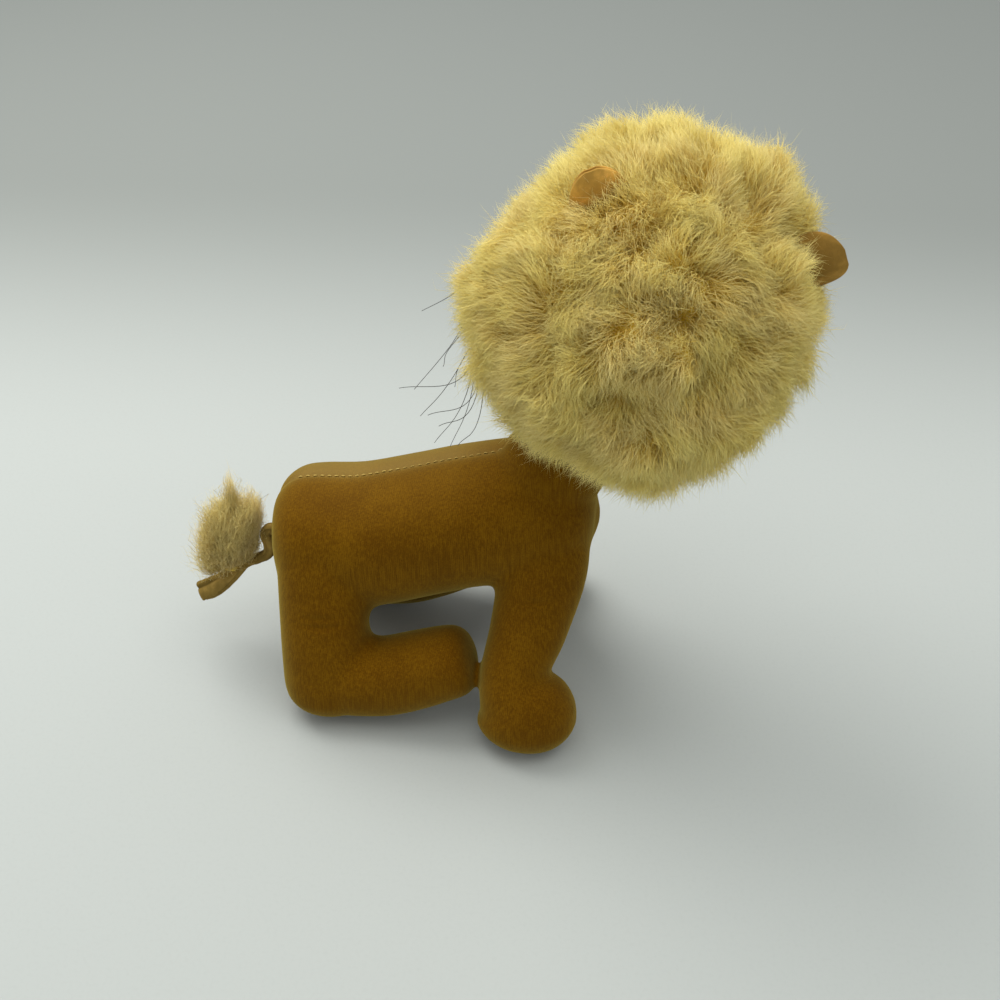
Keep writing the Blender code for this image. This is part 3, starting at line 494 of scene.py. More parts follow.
def smooth_curve(rows, steps):
    """A Catmull-Rom curve through rows of numbers."""
    rows = np.array(rows, float)
    rows = np.vstack([2 * rows[0] - rows[1], rows, 2 * rows[-1] - rows[-2]])
    out = []
    for k in range(1, len(rows) - 2):
        a, b, c, d = rows[k - 1 : k + 3]
        for t in np.arange(steps) / steps:
            out.append(0.5 * (2 * b + (c - a) * t + (2 * a - 5 * b + 4 * c - d) * t**2
                              + (3 * b - a - 3 * c + d) * t**3))
    out.append(rows[-2])
    return np.array(out)


def sewn_form(rows, start, end, around=40, squareness=2.0):
    """A stuffed sleeve through rows (x, y, z, half side, half other), with ends rounded and crowned
    by start and end, each (rounding, crown)."""
    fine = smooth_curve(rows, 14)
    places = fine[:, :3]
    run = np.append(0, np.cumsum(np.linalg.norm(np.diff(places, axis=0), axis=1)))
    total = run[-1]

    def at(distance):
        held = min(max(distance, 0), total)
        row = np.array([np.interp(held, run, column) for column in fine.T])
        k = int(np.clip(np.searchsorted(run, held), 1, len(run) - 1))
        heading = places[min(k + 1, len(places) - 1)] - places[max(k - 2, 0)]
        heading = heading / np.linalg.norm(heading)
        return row[:3] + heading * (distance - held), heading, row[3:]

    def cap(rounding, crown):
        """Distances from an end with how far the skin is drawn in there, and its share."""
        out = [(-crown * (1 - share**2), rounding, share) for share in (0.15, 0.4, 0.65, 0.85)]
        bends = [math.pi / 2 * k / 6 for k in range(7)]
        return out + [(rounding * (1 - math.cos(a)), rounding * (1 - math.sin(a)), 1) for a in bends]

    first, last = cap(*start), cap(*end)
    near, far = first[-1][0], total - last[-1][0]
    stops = first + [(near + (far - near) * k / 26, 0, 1) for k in range(1, 26)]
    stops += [(total - distance, drawn, share) for distance, drawn, share in reversed(last)]
    turns = full_turn(around)
    shape = [np.sign(f(turns)) * np.abs(f(turns)) ** (2 / squareness) for f in (np.cos, np.sin)]
    rings = []
    for distance, drawn, share in stops:
        place, heading, half = at(distance)
        side = np.array([0, 1.0, 0]) - heading * heading[1]
        side /= np.linalg.norm(side)
        other = np.cross(heading, side)
        wide, deep = (half - drawn) * share
        rings.append(place + np.outer(shape[0] * wide, side) + np.outer(shape[1] * deep, other))
    return closed_form(at(-start[1])[0], rings, at(total + end[1])[0])


def joined_skin(name, forms, voxel, smoothing):
    """One skin round several closed forms, with soft hollows where they meet."""
    skin = new_object(name, None, *joined(forms))
    shape_with(
        skin, REMESH={"mode": "VOXEL", "voxel_size": voxel}, SMOOTH={"factor": 0.5, "iterations": smoothing}
    )
    keep_largest(skin.data)
    return skin


def shape_with(thing, **changes):
    """Applies modifiers to an object, each given as its kind and its settings."""
    for kind, settings in changes.items():
        change = thing.modifiers.new(kind, kind)
        for name, value in settings.items():
            setattr(change, name, value)
    graph = bpy.context.evaluated_depsgraph_get()
    mesh = bpy.data.meshes.new_from_object(thing.evaluated_get(graph))
    old, name = thing.data, thing.data.name
    thing.modifiers.clear()
    thing.data = mesh
    bpy.data.meshes.remove(old)
    mesh.name = name


def keep_largest(mesh):
    """Drops all but the largest connected skin."""
    work = bmesh.new()
    work.from_mesh(mesh)
    left, best = set(work.verts), set()
    while left:
        group = set()
        edge = [left.pop()]
        while edge:
            here = edge.pop()
            group.add(here)
            near = {link.other_vert(here) for link in here.link_edges} & left
            left -= near
            edge.extend(near)
        best = max(best, group, key=len)
    bmesh.ops.delete(work, geom=[vertex for vertex in work.verts if vertex not in best], context="VERTS")
    work.to_mesh(mesh)
    work.free()


def tree_of(mesh):
    work = bmesh.new()
    work.from_mesh(mesh)
    tree = BVHTree.FromBMesh(work)
    work.free()
    return tree


def tube(places, radii, around):
    """A round tube through places, closed at both ends."""
    places = np.asarray(places, float)
    turns = full_turn(around)
    rings = []
    side = None
    for k, radius in enumerate(radii):
        heading = unit(places[min(k + 1, len(places) - 1)] - places[max(k - 1, 0)])
        if side is None:
            side = np.cross(heading, (0.31, 0.52, 0.79))
        side = side - heading * (side @ heading)
        side /= np.linalg.norm(side)
        other = np.cross(heading, side)
        rings.append(places[k] + (np.outer(np.cos(turns), side) + np.outer(np.sin(turns), other)) * radius)
    return closed_form(places[0], rings, places[-1])


# A hair's radius at each of its rings, in shares of its own, before its pointed tip
HAIR_TAPER = (1.0, 0.95, 0.82, 0.58)


def grow_hairs(name, material, roots, bends, tips, radius, curl, seed, tints):
    """Tapered three-sided hairs on crimped curves, as one object with its shading values."""
    chance = np.random.default_rng(seed)
    count = len(roots)
    stops = np.linspace(0, 1, len(HAIR_TAPER) + 1)
    spine = [roots * (1 - t) ** 2 + bends * (2 * t * (1 - t)) + tips * t**2 for t in stops]
    wave, other_wave = chance.normal(0, 1, (2, count, 3))
    start = chance.uniform(0, 2 * math.pi, (count, 1))
    reach = np.linalg.norm(tips - roots, axis=1, keepdims=True)
    for k in range(1, len(HAIR_TAPER)):
        crimp = wave * np.sin(start + 2.4 * k) + other_wave * np.cos(start + 1.7 * k)
        spine[k] = spine[k] + crimp * reach * curl
    heading = unit(tips - roots)
    side = unit(np.cross(heading, chance.normal(0, 1, (count, 3))))
    other = np.cross(heading, side)
    widths = radius * chance.uniform(0.7, 1.25, (count, 1))
    rings = [
        spine[k] + (side * math.cos(a) + other * math.sin(a)) * widths * share
        for k, share in enumerate(HAIR_TAPER) for a in full_turn(3)
    ]
    points = np.stack(rings + [spine[-1]], axis=1).reshape(-1, 3)
    last = 3 * len(HAIR_TAPER)
    base = np.arange(count)[:, None] * (last + 1)
    ends = [(last - 3 + k, last - 3 + (k + 1) % 3, last) for k in range(3)] + [(0, 2, 1)]
    sides = [
        (row + k, row + (k + 1) % 3, row + 3 + (k + 1) % 3, row + 3 + k) for row in range(0, last - 3, 3)
        for k in range(3)
    ]
    faces = [np.vstack([base + np.array([corners]) for corners in kind]) for kind in (ends, sides)]
    hairs = new_object(name, material, points, *faces)
    put_attribute(hairs.data, "along", np.tile(np.append(np.repeat(stops[:-1], 3), 1.0), count))
    put_attribute(hairs.data, "tint", np.repeat(tints, last + 1))
    return hairs


# Body
# How much further out the left hind leg stands
LEFT_SPREAD = 1.03


def body_rows(shares, long, high, side, wide, deep):
    """Rows of one form of the body, from shares of its own sizes."""
    return [
        (RUMP.x + x * long, RUMP.y + y * side, z * high, across * wide / 2, down * deep / 2)
        for x, y, z, across, down in shares
    ]


def soften_arch(skin):
    """Rounds the fold where the belly runs into the hind legs."""
    away = (vertex_rows(skin.data) - np.array(RUMP) - np.array(ARCH_FOLD)) / np.array(ARCH_REACH)
    near = np.exp(-np.sum(away**2, axis=1))
    group = skin.vertex_groups.new(name="arch")
    for k in np.nonzero(near > 0.05)[0]:
        group.add([int(k)], float(near[k]), "REPLACE")
    shape_with(skin, SMOOTH={"vertex_group": group.name, "factor": 0.5, "iterations": 60})
    skin.vertex_groups.clear()


# Middle of the fold behind the belly, from the rump's foot, and how far it is softened
ARCH_FOLD = (0.0270, -0.0140, 0.0270)
ARCH_REACH = (0.009, 0.020, 0.009)
# Soft creases where the stuffing folds the cloth: x, side, height, run along x, depth and width
CREASES = (
    (0.188, -0.0245, 0.0360, 0.0050, 0.00050, 0.0008),
    (0.192, -0.0252, 0.0338, 0.0050, 0.00055, 0.0008),
    (0.838, -0.0230, 0.0456, 0.0030, 0.00055, 0.0009),
)


def crease_skin(points, normals, sizes):
    """Pulls the skin in along soft creases."""
    out = points.copy()
    for x, y, z, run, depth, width in CREASES:
        middle = np.array([RUMP.x + x * sizes.body_length, RUMP.y + y, z])
        away = points - middle
        near = np.exp(-(away[:, 0] / run) ** 2 - (away[:, 2] / width) ** 2)
        near *= np.clip(-away[:, 1] / 0.004 + 1.2, 0, 1)
        out -= normals * (near * depth)[:, None]
    return out


def weave_values(points, normals):
    """Distance across the ribs of the cloth, which run down the sides of the body."""
    lean = np.abs(normals[:, 0])
    turned = np.clip((lean - 0.55) / 0.35, 0, 1)
    return points[:, 0] + points[:, 1] * (0.35 + 0.65 * turned)


def dress_body(sizes, palette):
    """The velveteen skin over the trunk, legs and feet."""
    long, high, neck = sizes.body_length, sizes.back_height, 2 * sizes.neck_radius
    forms = [
        sewn_form(
            body_rows(TRUNK_SHARES, long, high, 0, sizes.body_width, sizes.body_depth),
            (sizes.rump_rounding, 0.0010), (sizes.chest_rounding, 0.0015), 44, 2.15,
        ),
        sewn_form(body_rows(NECK_SHARES, long, high, 0, neck, neck), (0.002, 0), (0.0012, 0)),
    ]
    for side in (1, -1):
        paw = side * sizes.paw_spread / 2
        heel = side * sizes.hind_spread / 2 * (LEFT_SPREAD if side > 0 else 1)
        leg = body_rows(FRONT_LEG_SHARES, long, high, paw, sizes.leg_width, sizes.leg_width)
        leg += body_rows(PAW_SHARES, long, high, paw, sizes.paw_width, sizes.paw_length)
        hind = body_rows(HIND_LEG_SHARES, long, high, heel, sizes.hind_width, sizes.hind_length)
        foot = body_rows(
            FOOT_SHARES, sizes.foot_reach, sizes.foot_depth, heel, sizes.foot_width, sizes.foot_depth
        )
        forms += [
            sewn_form(leg, (sizes.leg_width / 4, 0), (sizes.paw_rounding, 0), squareness=2.1),
            sewn_form(hind, (sizes.hind_width / 4, 0), (sizes.paw_rounding, 0), squareness=2.2),
            sewn_form(foot, (sizes.foot_width / 4, 0), (sizes.toe_rounding, 0.0006), squareness=2.1),
        ]
    skin = joined_skin("body_skin", forms, sizes.weave_voxel, 16)
    soften_arch(skin)
    mesh = skin.data
    normals = vertex_rows(mesh, "normal")
    points = crease_skin(vertex_rows(mesh), normals, sizes)
    seam = seam_depth(points, normals)
    points -= normals * seam[:, None]
    points[:, 2] = np.maximum(points[:, 2], 0.0)
    mesh.vertices.foreach_set("co", points.astype(np.float32).ravel())
    mesh.update()
    put_attribute(mesh, "weave", weave_values(points, normals))
    # Painted highlight: the top of the back, where the light catches it, is marked for the paler tone, most
    # on the left panel beyond the seam; the seam's groove is marked pale too
    painted_top_highlight = np.clip((normals[:, 2] - 0.45) / 0.55, 0, 1) ** 1.6
    painted_top_highlight *= np.clip((points[:, 2] / sizes.back_height - 0.62) / 0.30, 0, 1)
    painted_top_highlight *= np.clip((0.070 - points[:, 0] + RUMP.x) / 0.020, 0, 1)
    left_panel = np.clip((points[:, 1] - RUMP.y - SEAM_SIDE) / 0.0015 + 0.5, 0, 1)
    put_attribute(mesh, "edge", np.clip(painted_top_highlight * (0.10 + 0.80 * left_panel) + seam / 0.0016, 0, 1))
    cover(skin, velveteen_finish("velveteen", palette))
    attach(skin, "torso")
    limbs = [f"{limb}_{part}_{word}" for limb in ("front_leg", "hind_leg", "hind_foot")
             for part in ("cover", "filling") for word in ("left", "right")]
    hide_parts("torso_cover", "torso_filling", *limbs)
    return skin


def cover(thing, material):
    """Gives an object one material only."""
    thing.data.materials.clear()
    thing.data.materials.append(material)
    thing.data.shade_smooth()


# How far to the left of the middle the back seam runs
SEAM_SIDE = 0.0020


def seam_depth(points, normals):
    """How far the centre-back seam draws the skin in."""
    aside = points[:, 1] - RUMP.y - SEAM_SIDE
    on_back = np.clip((normals[:, 2] - 0.2) / 0.4, 0, 1)
    on_rump = np.clip((-normals[:, 0] - 0.3) / 0.4, 0, 1) * (points[:, 2] > 0.03)
    groove = np.exp(-(aside / 0.0006) ** 2) * 0.00050 + np.exp(-(aside / 0.0026) ** 2) * 0.00035
    return groove * np.clip(on_back + on_rump, 0, 1)


def sew_back_seam(sizes, palette, skin):
    """Pale hand stitches along the middle of the back."""
    tree = tree_of(skin.data)
    x = RUMP.x + 0.09 * sizes.body_length
    worn = RUMP.x + 0.40 * sizes.body_length
    end = RUMP.x + 0.74 * sizes.body_length
    chance = np.random.default_rng(11)
    stitches = []
    while x < end:
        along = []
        for step in (-0.5, -0.3, 0, 0.3, 0.5):
            aside = RUMP.y + SEAM_SIDE + float(chance.normal(0, 0.00006))
            hit = tree.ray_cast(Vector((x + step * sizes.stitch_length, aside, 0.2)), Vector((0, 0, -1)))[0]
            if hit is not None:
                lift = sizes.stitch_radius * (1.0 - 3.4 * step * step)
                along.append(np.array(hit) + np.array((0, 0, lift)))
        if len(along) == 5:
            thick = sizes.stitch_radius * (1.0 if x < worn else 0.62)
            stitches.append(tube(along, [thick * f for f in (0.5, 1, 1.05, 1, 0.5)], 7))
        x += sizes.stitch_pitch * float(chance.uniform(0.93, 1.08))
    finish = thread_finish("seam thread", palette.seam_thread)
    thread = new_object("back_seam_stitches", finish, *joined(stitches))
    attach(thread, "torso")


# Head
def head_matrix(sizes):
    """The head's own frame: X out of the face, Y to the head's left and Z along the neck."""
    rise = math.sqrt(sizes.head_radius**2 - sizes.head_flat**2)
    centre = NECK_FACE + NECK_AXIS * rise
    left = sum(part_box("eye_left"), Vector()) - sum(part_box("eye_right"), Vector())
    face = left.cross(NECK_AXIS).normalized()
    turn = Matrix((face, NECK_AXIS.cross(face), NECK_AXIS)).transposed().to_4x4()
    return Matrix.Translation(centre) @ turn


def even_directions(count):
    """Directions spread evenly over a ball."""
    k = np.arange(count) + 0.5
    z = 1 - 2 * k / count
    a = math.pi * (1 + math.sqrt(5)) * k
    r = np.sqrt(1 - z * z)
    return np.stack([r * np.cos(a), r * np.sin(a), z], axis=1)


def mane_reach(directions, sizes):
    """Radius of the mane's tips in each direction from the head's centre."""
    u, v = directions @ unit(SEEN_RIGHT), directions @ unit(SEEN_ABOVE)
    angle = np.degrees(np.arctan2(v, u)) % 360
    rim = np.sqrt(np.clip(u * u + v * v, 0, 1))
    order = [a + turn for turn in (-360, 0, 360) for a, _ in MANE_OUTLINE]
    swell = np.interp(angle, order, [share for _, share in MANE_OUTLINE] * 3) - 1
    lumps = sum(drift(directions, scale, start)[:, 0] * high for scale, start, high in MANE_LUMPS)
    for place, width, depth in MANE_HOLLOWS:
        lumps = lumps - depth * nearness(directions, place, width)
    return sizes.mane_radius * (1 + swell * rim**3 + lumps)


def drift(directions, scale, start):
    """Smooth random vectors over the head."""
    shift = Vector((start, 2 * start, -start))
    return np.array([noise.noise_vector(Vector(row) * scale + shift) for row in directions])


def nearness(directions, place, width):
    """1 in a direction, and falling to nothing beyond a width in degrees."""
    away = directions - unit(place)
    return np.exp(-np.sum(away**2, axis=1) / math.radians(width) ** 2)


# Right and up, as one sees the head from behind, in the head's own frame
SEEN_RIGHT = (-0.0755, -0.9307, 0.3566)
SEEN_ABOVE = (0.6746, 0.2156, 0.7062)
# The mane's outline from there: angle in degrees from the right, and radius in shares of its own
MANE_OUTLINE = (
    (3, 1.013), (26, 1.035), (37, 1.09), (47, 1.11), (56, 1.03), (65, 1.008), (78, 0.998), (96, 0.985),
    (109, 0.951), (119, 0.88), (143, 0.878), (154, 0.905), (169, 0.998), (188, 1.024), (209, 1.003),
    (225, 0.998), (232, 1.0), (247, 0.925), (256, 0.987), (273, 1.04), (281, 1.024), (295, 1.024),
    (313, 0.961), (329, 0.93), (350, 0.972),
)
# Start of the noise that shapes the mane
MANE_SEED = 2
# Soft lumps over the mane: how many to a head's radius, where their noise starts, and their height
MANE_LUMPS = ((2.6, 0.3, 0.060), (5.5, 3.9, 0.082), (11.0, 7.7, 0.055))
# Where the pile parts: the direction, the width in degrees, and the depth in shares of the radius
MANE_HOLLOWS = (
    ((-0.33, -0.13, 0.93), 9, 0.070), ((-0.91, -0.03, 0.30), 9, 0.055), ((-0.73, 0.67, 0.14), 8, 0.035),
    ((-0.94, 0.34, 0.02), 8, 0.030), ((-0.63, 0.32, 0.71), 7, 0.022), ((-0.93, -0.33, 0.18), 7, 0.030),
)
# Where the pile turns outward from
WHORL = (-0.81, 0.10, 0.58)


def face_angle(directions, sizes):
    """Angle of each direction from the middle of the face."""
    middle = np.array([math.cos(sizes.face_tilt), 0, -math.sin(sizes.face_tilt)])
    return np.arccos(np.clip(directions @ middle, -1, 1))


def neck_angle(directions):
    """Angle of each direction from the neck."""
    return np.arccos(np.clip(-directions[:, 2], -1, 1))


def comb_flow(directions):
    """Which way the pile lies: out from a whorl behind the crown, with tufts that lie their own way."""
    away = directions - unit(WHORL)
    far = np.linalg.norm(away, axis=1, keepdims=True)
    flow = unit(away) * np.clip(far / 0.9, 0.08, 1) + np.array([0, 0, -0.22])
    flow = flow + drift(directions, 2.4, 4.1) * 1.8 + drift(directions, 6.5, 9.3) * 2.6
    wander = drift(directions, 4.5, 2.2) * 0.5
    for place, width, _ in MANE_HOLLOWS:
        near = nearness(directions, place, width * 1.3)[:, None]
        flow = flow + unit(directions - unit(place) + wander) * near * 0.5
    flow -= directions * np.sum(flow * directions, axis=1, keepdims=True)
    return unit(flow)


def fur_share(directions, sizes):
    """Length of the pile in each direction, shorter behind the right ear and in the hollows, in shares of its
    own.
    """
    share = np.ones(len(directions))
    for side, cropped in ((1, 0.0), (-1, 0.92)):
        ear = np.array(ear_matrix(sizes, side).translation)
        share -= cropped * nearness(directions, ear + np.array((-0.0035, 0, 0)), 12)
    for place, width, depth in MANE_HOLLOWS:
        share -= depth * 7.5 * nearness(directions, place, width * 0.8)
    return np.maximum(share, 0.12)


def mane_root(directions, sizes):
    """Radius at which the pile grows: the cloth, padded out behind the face."""
    rise = np.clip((face_angle(directions, sizes) - sizes.face_opening) / math.radians(20), 0, 1)
    full = mane_reach(directions, sizes) - sizes.pile * 0.66
    thin = sizes.head_radius + 0.0008
    return thin + (full - thin) * np.sin(rise * math.pi / 2)


def lay_ground(sizes, palette, frame):
    """The matted cloth that the pile grows from, open at the face and the neck."""
    around, down = 110, 70

    def inner(out):
        return sizes.head_radius + 0.0003

    def outer(out):
        tufts = np.sin(31 * out[:, 0] + 3) * np.sin(27 * out[:, 1]) * np.sin(29 * out[:, 2] + 1)
        return (mane_root(out, sizes) + tufts * 0.0005)[:, None]

    def layer(rows, radius_of):
        out = face_points(sizes, rows)
        return moved(frame, out * radius_of(out))

    polars = sizes.face_opening + (math.pi - sizes.face_opening) * (np.arange(down) / down) ** 1.1
    rings = [layer(polar_ring(polar, around), inner) for polar in reversed(polars)]
    rings += [layer(polar_ring(polar, around), outer) for polar in polars]
    back = [[-1.0, 0, 0]]
    form = closed_form(layer(back, inner), rings, layer(back, outer))
    piece = new_object("mane_ground", underfur_finish("mohair ground", palette), *form)
    cut_along_neck(piece, frame, sizes.neck_radius_way, -sizes.head_radius * 2, -sizes.head_radius * 0.6)
    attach(piece, "head")
    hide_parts("mane")


def polar_ring(polar, around):
    """Directions at one angle from +X, all the way round it."""
    turns = full_turn(around)
    return np.stack([
        np.full(around, math.cos(polar)), math.sin(polar) * np.cos(turns), math.sin(polar) * np.sin(turns)
    ], axis=1)


def cut_along_neck(piece, frame, radius, low, high, around=64):
    """Cuts a piece with a round tool that stands along the neck."""
    turns = full_turn(around)
    rings = [
        moved(frame, np.stack([np.cos(turns) * radius, np.sin(turns) * radius, np.full(around, z)], axis=1))
        for z in (low, high)
    ]
    start, end = (moved(frame, np.array([0, 0, z])) for z in (low, high))
    tool = new_object("way", None, *closed_form(start, rings, end))
    for thing in (piece, tool):
        face_outward(thing.data)
    shape_with(piece, BOOLEAN={"object": tool, "solver": "EXACT"})
    bpy.data.objects.remove(tool)
    piece.data.shade_smooth()


def face_outward(mesh):
    work = bmesh.new()
    work.from_mesh(mesh)
    bmesh.ops.recalc_face_normals(work, faces=work.faces)
    work.to_mesh(mesh)
    work.free()


# How many pieces the mane's hairs are shared out over, and how far a hair is crimped, in shares of its
# length, in the mane and in the tail's tuft
MANE_PIECES = 12
MANE_CRIMP = 0.055
TUFT_CRIMP = 0.075


def comb_mane(sizes, palette, frame):
    """Many tapered hairs, drawn together in small locks that follow the lie of the pile."""
    chance = np.random.default_rng(7)

    def scattered(amount, spread):
        """Places that the pile grows from, spread evenly but for a little chance."""
        rows = unit(even_directions(amount) + chance.normal(0, spread, (amount, 3)))
        rim = sizes.face_opening - 0.07 * chance.random(amount)
        return rows[(face_angle(rows, sizes) > rim) & (neck_angle(rows) > sizes.neck_way_angle)]

    def ends(rows, turning, leaning, shortest, longest):
        """Where hairs from these places would end, turned off the flow and leaning over."""
        amount = (len(rows), 1)
        flow = comb_flow(rows)
        turn = chance.normal(0, turning, amount)
        flow = flow * np.cos(turn) + np.cross(rows, flow) * np.sin(turn)
        lean = np.clip(chance.normal(leaning, 0.28, amount), 0.1, 1.35)
        reach = sizes.pile * fur_share(rows, sizes)[:, None] * chance.uniform(shortest, longest, amount)
        return rows * (mane_root(rows, sizes)[:, None] + reach * np.cos(lean)) + flow * reach * np.sin(lean)

    tufts = scattered(sizes.tufts, 0.03)
    tuft_tip = ends(tufts, 0.55, 0.75, 0.85, 1.20)
    curls = chance.normal(0, 0.30, (len(tufts), 1))
    locks = scattered(sizes.locks, 0.012)
    lock_tuft = nearest_rows(locks, tufts)
    lock_tip = ends(locks, 0.45, 0.85, 0.75, 1.12) * 0.65 + tuft_tip[lock_tuft] * 0.35

    roots = scattered(sizes.hairs, 0.006)
    amount = len(roots)
    own = nearest_rows(unit(roots + chance.normal(0, 0.006, (amount, 3))), locks)
    tuft = lock_tuft[own]
    stray = chance.random((amount, 1)) < 0.16
    to_lock = np.where(stray, 0.08, chance.uniform(0.12, 0.55, (amount, 1)))
    to_tuft = np.where(stray, 0.04, chance.uniform(0.06, 0.26, (amount, 1)))
    tip = ends(roots, 0.65, 0.80, 0.75, 1.12)
    tip = tip * (1 - to_lock - to_tuft) + lock_tip[own] * to_lock + tuft_tip[tuft] * to_tuft
    tip += chance.normal(0, 1, (amount, 3)) * np.where(stray, 0.0014, 0.0008)
    root = roots * (mane_root(roots, sizes)[:, None] - 0.0010)
    pile = sizes.pile * fur_share(roots, sizes)[:, None]
    bend = root + roots * pile * chance.uniform(0.34, 0.62, (amount, 1))
    bend += np.cross(roots, tip - root) * curls[tuft] + chance.normal(0, 0.0007, (amount, 3))
    tip[:, 2] = np.maximum(tip[:, 2], -sizes.mane_radius * 1.05)
    tints = chance.beta(1.5, 2.2, amount) * 0.5
    tints += chance.random(len(locks))[own] * 0.25 + chance.random(len(tufts))[tuft] * 0.25
    material = mohair_finish("mohair", palette.mohair, palette.mohair_deep)
    order = np.argsort(np.arctan2(roots[:, 1], roots[:, 0]))
    for k, mine in enumerate(np.array_split(order, MANE_PIECES)):
        spots = [moved(frame, rows[mine]) for rows in (root, bend, tip)]
        piece = grow_hairs(
            f"mane_pile_{k + 1}", material, *spots, sizes.hair_radius, MANE_CRIMP, 20 + k, tints[mine]
        )
        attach(piece, "head")


def nearest_rows(rows, targets):
    """For each row, the number of the nearest target."""
    tree = KDTree(len(targets))
    for k, target in enumerate(targets):
        tree.insert(target, k)
    tree.balance()
    return np.array([tree.find(row)[1] for row in rows])


def face_points(sizes, local):
    """Turns places in the face's frame, which looks down a little, into the head's frame."""
    return moved(Matrix.Rotation(sizes.face_tilt, 4, "Y"), np.asarray(local, float))


def placed(matrix, form):
    """A form's points, moved, with its faces."""
    return moved(matrix, form[0]), *form[1:]


def ball_form(centre, radii, around=40, down=24):
    """A ball with its own radius along each axis."""
    polars = np.linspace(0, math.pi, down + 2)[1:-1]
    points, *faces = closed_form((1, 0, 0), [polar_ring(p, around) for p in polars], (-1, 0, 0))
    return points * np.array(radii) + np.array(centre), *faces


# The muzzle's lobes, chin and brow: where each lies in shares of the muzzle's sizes, how much of its
# drop it follows, and its radii
MUZZLE_BALLS = (
    ((0.14, 0.255, 0), 1, (0.78, 0.290, 0.42)), ((0.14, -0.255, 0), 1, (0.78, 0.290, 0.42)),
    ((0, 0, -0.30), 1, (0.46, 0.27, 0.24)), ((0.06, 0, 0), 0.45, (0.60, 0.24, 0.40)),
)
# The mouth's three lines, in shares of the muzzle's width and half height
MOUTH_LINES = (
    ((0, 0.05), (0, -0.30), (0, -0.52)),
    ((0, -0.52), (0.10, -0.70), (0.22, -0.72), (0.33, -0.52)),
    ((0, -0.52), (-0.10, -0.70), (-0.22, -0.72), (-0.33, -0.52)),
)
# Radii down one stitch of the nose, and the dark thread of the nose and mouth
NOSE_STITCH = (0.00025, 0.00036, 0.00039, 0.00039, 0.00039, 0.00039, 0.00039, 0.00036, 0.00025)
DARK_THREAD = (0.030, 0.018, 0.012)
# An eye bead's radius and the height of its dome
EYE_RADIUS = 0.0031
EYE_HEIGHT = 0.0026
# How finely the head's skin is divided
HEAD_GRAIN = 0.0008


def dress_face(sizes, palette, frame):
    """The head's cloth with its two-lobed muzzle, brow and chin, then the nose, mouth and eyes."""
    radius = sizes.head_radius - 0.0001
    front = math.sqrt(radius**2 - sizes.muzzle_drop**2)
    muzzle = np.array((sizes.muzzle_reach, sizes.muzzle_width, sizes.muzzle_height))
    face = frame @ Matrix.Rotation(sizes.face_tilt, 4, "Y")
    forms = [ball_form((0, 0, 0), (radius, radius, radius), 64, 40)]
    forms += [
        ball_form(muzzle * place + (front, 0, -sizes.muzzle_drop * drop), muzzle * radii)
        for place, drop, radii in MUZZLE_BALLS
    ]
    skin = joined_skin("head_skin", [placed(face, form) for form in forms], HEAD_GRAIN, 8)
    flat = math.sqrt(sizes.head_radius**2 - sizes.head_flat**2) - 0.0002
    cut_along_neck(skin, frame, sizes.head_radius, -2 * sizes.head_radius, -flat)
    points = vertex_rows(skin.data)
    put_attribute(skin.data, "weave", points[:, 1] * 0.8 + points[:, 0] * 0.6)
    put_attribute(skin.data, "edge", np.zeros(len(points)))
    cover(skin, velveteen_finish("head velveteen", palette, 1.12))
    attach(skin, "head")
    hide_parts("head_cover", "head_filling", "muzzle")
    sew_nose(sizes, face, front)
    sew_mouth(sizes, face, skin)
    for word in ("left", "right"):
        set_eye(word, np.array(frame))


def sew_nose(sizes, face, front):
    """Satin stitches side by side over a small wedge."""
    tip = front + sizes.muzzle_reach * 0.78
    rise = sizes.nose_height * 0.62 - sizes.muzzle_drop
    top = sizes.nose_height * 0.42
    t = np.linspace(0, 1, len(NOSE_STITCH))
    forms = []
    for s in np.linspace(-1, 1, 15):
        bottom = -sizes.nose_height * (0.55 - 0.42 * abs(s) ** 1.4)
        bulge = np.sin(math.pi * (0.12 + 0.76 * t)) * math.sqrt(max(0.02, 1 - 0.8 * s * s))
        x = tip - 0.0016 + sizes.nose_reach * 0.85 * bulge
        y = np.full(len(t), s * sizes.nose_width / 2)
        rows = np.stack([x, y, rise + top + (bottom - top) * t], axis=1)
        forms.append(tube(moved(face, rows), NOSE_STITCH, 8))
    forms.append(placed(face, ball_form(
        (tip - 0.0022, 0, rise - sizes.nose_height * 0.05),
        (sizes.nose_reach * 0.95, sizes.nose_width * 0.47, sizes.nose_height * 0.44), 28, 16,
    )))
    nose = new_object("nose_stitches", thread_finish("nose thread", DARK_THREAD, 0.45), *joined(forms))
    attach(nose, "head")
    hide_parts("nose")


def sew_mouth(sizes, face, skin):
    """A stitched line from the nose that parts into a calm mouth."""
    tree = tree_of(skin.data)
    back = Vector(np.array(face)[:3, :3] @ (-1.0, 0, 0))
    share = np.array((sizes.muzzle_width, sizes.muzzle_height / 2))
    forms = []
    for line in MOUTH_LINES:
        fine = smooth_curve(line * share - (0, sizes.muzzle_drop), 7)
        starts = moved(face, np.insert(fine, 0, 2 * sizes.head_radius, axis=1))
        hits = [tree.ray_cast(Vector(start), back)[0] for start in starts]
        places = [hit for hit in hits if hit is not None]
        radii = np.full(len(places), 0.00032)
        radii[[0, -1]] = 0.0002
        forms.append(tube(places, radii, 8))
    mouth = new_object("mouth_stitches", thread_finish("mouth thread", DARK_THREAD, 0.5), *joined(forms))
    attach(mouth, "head")


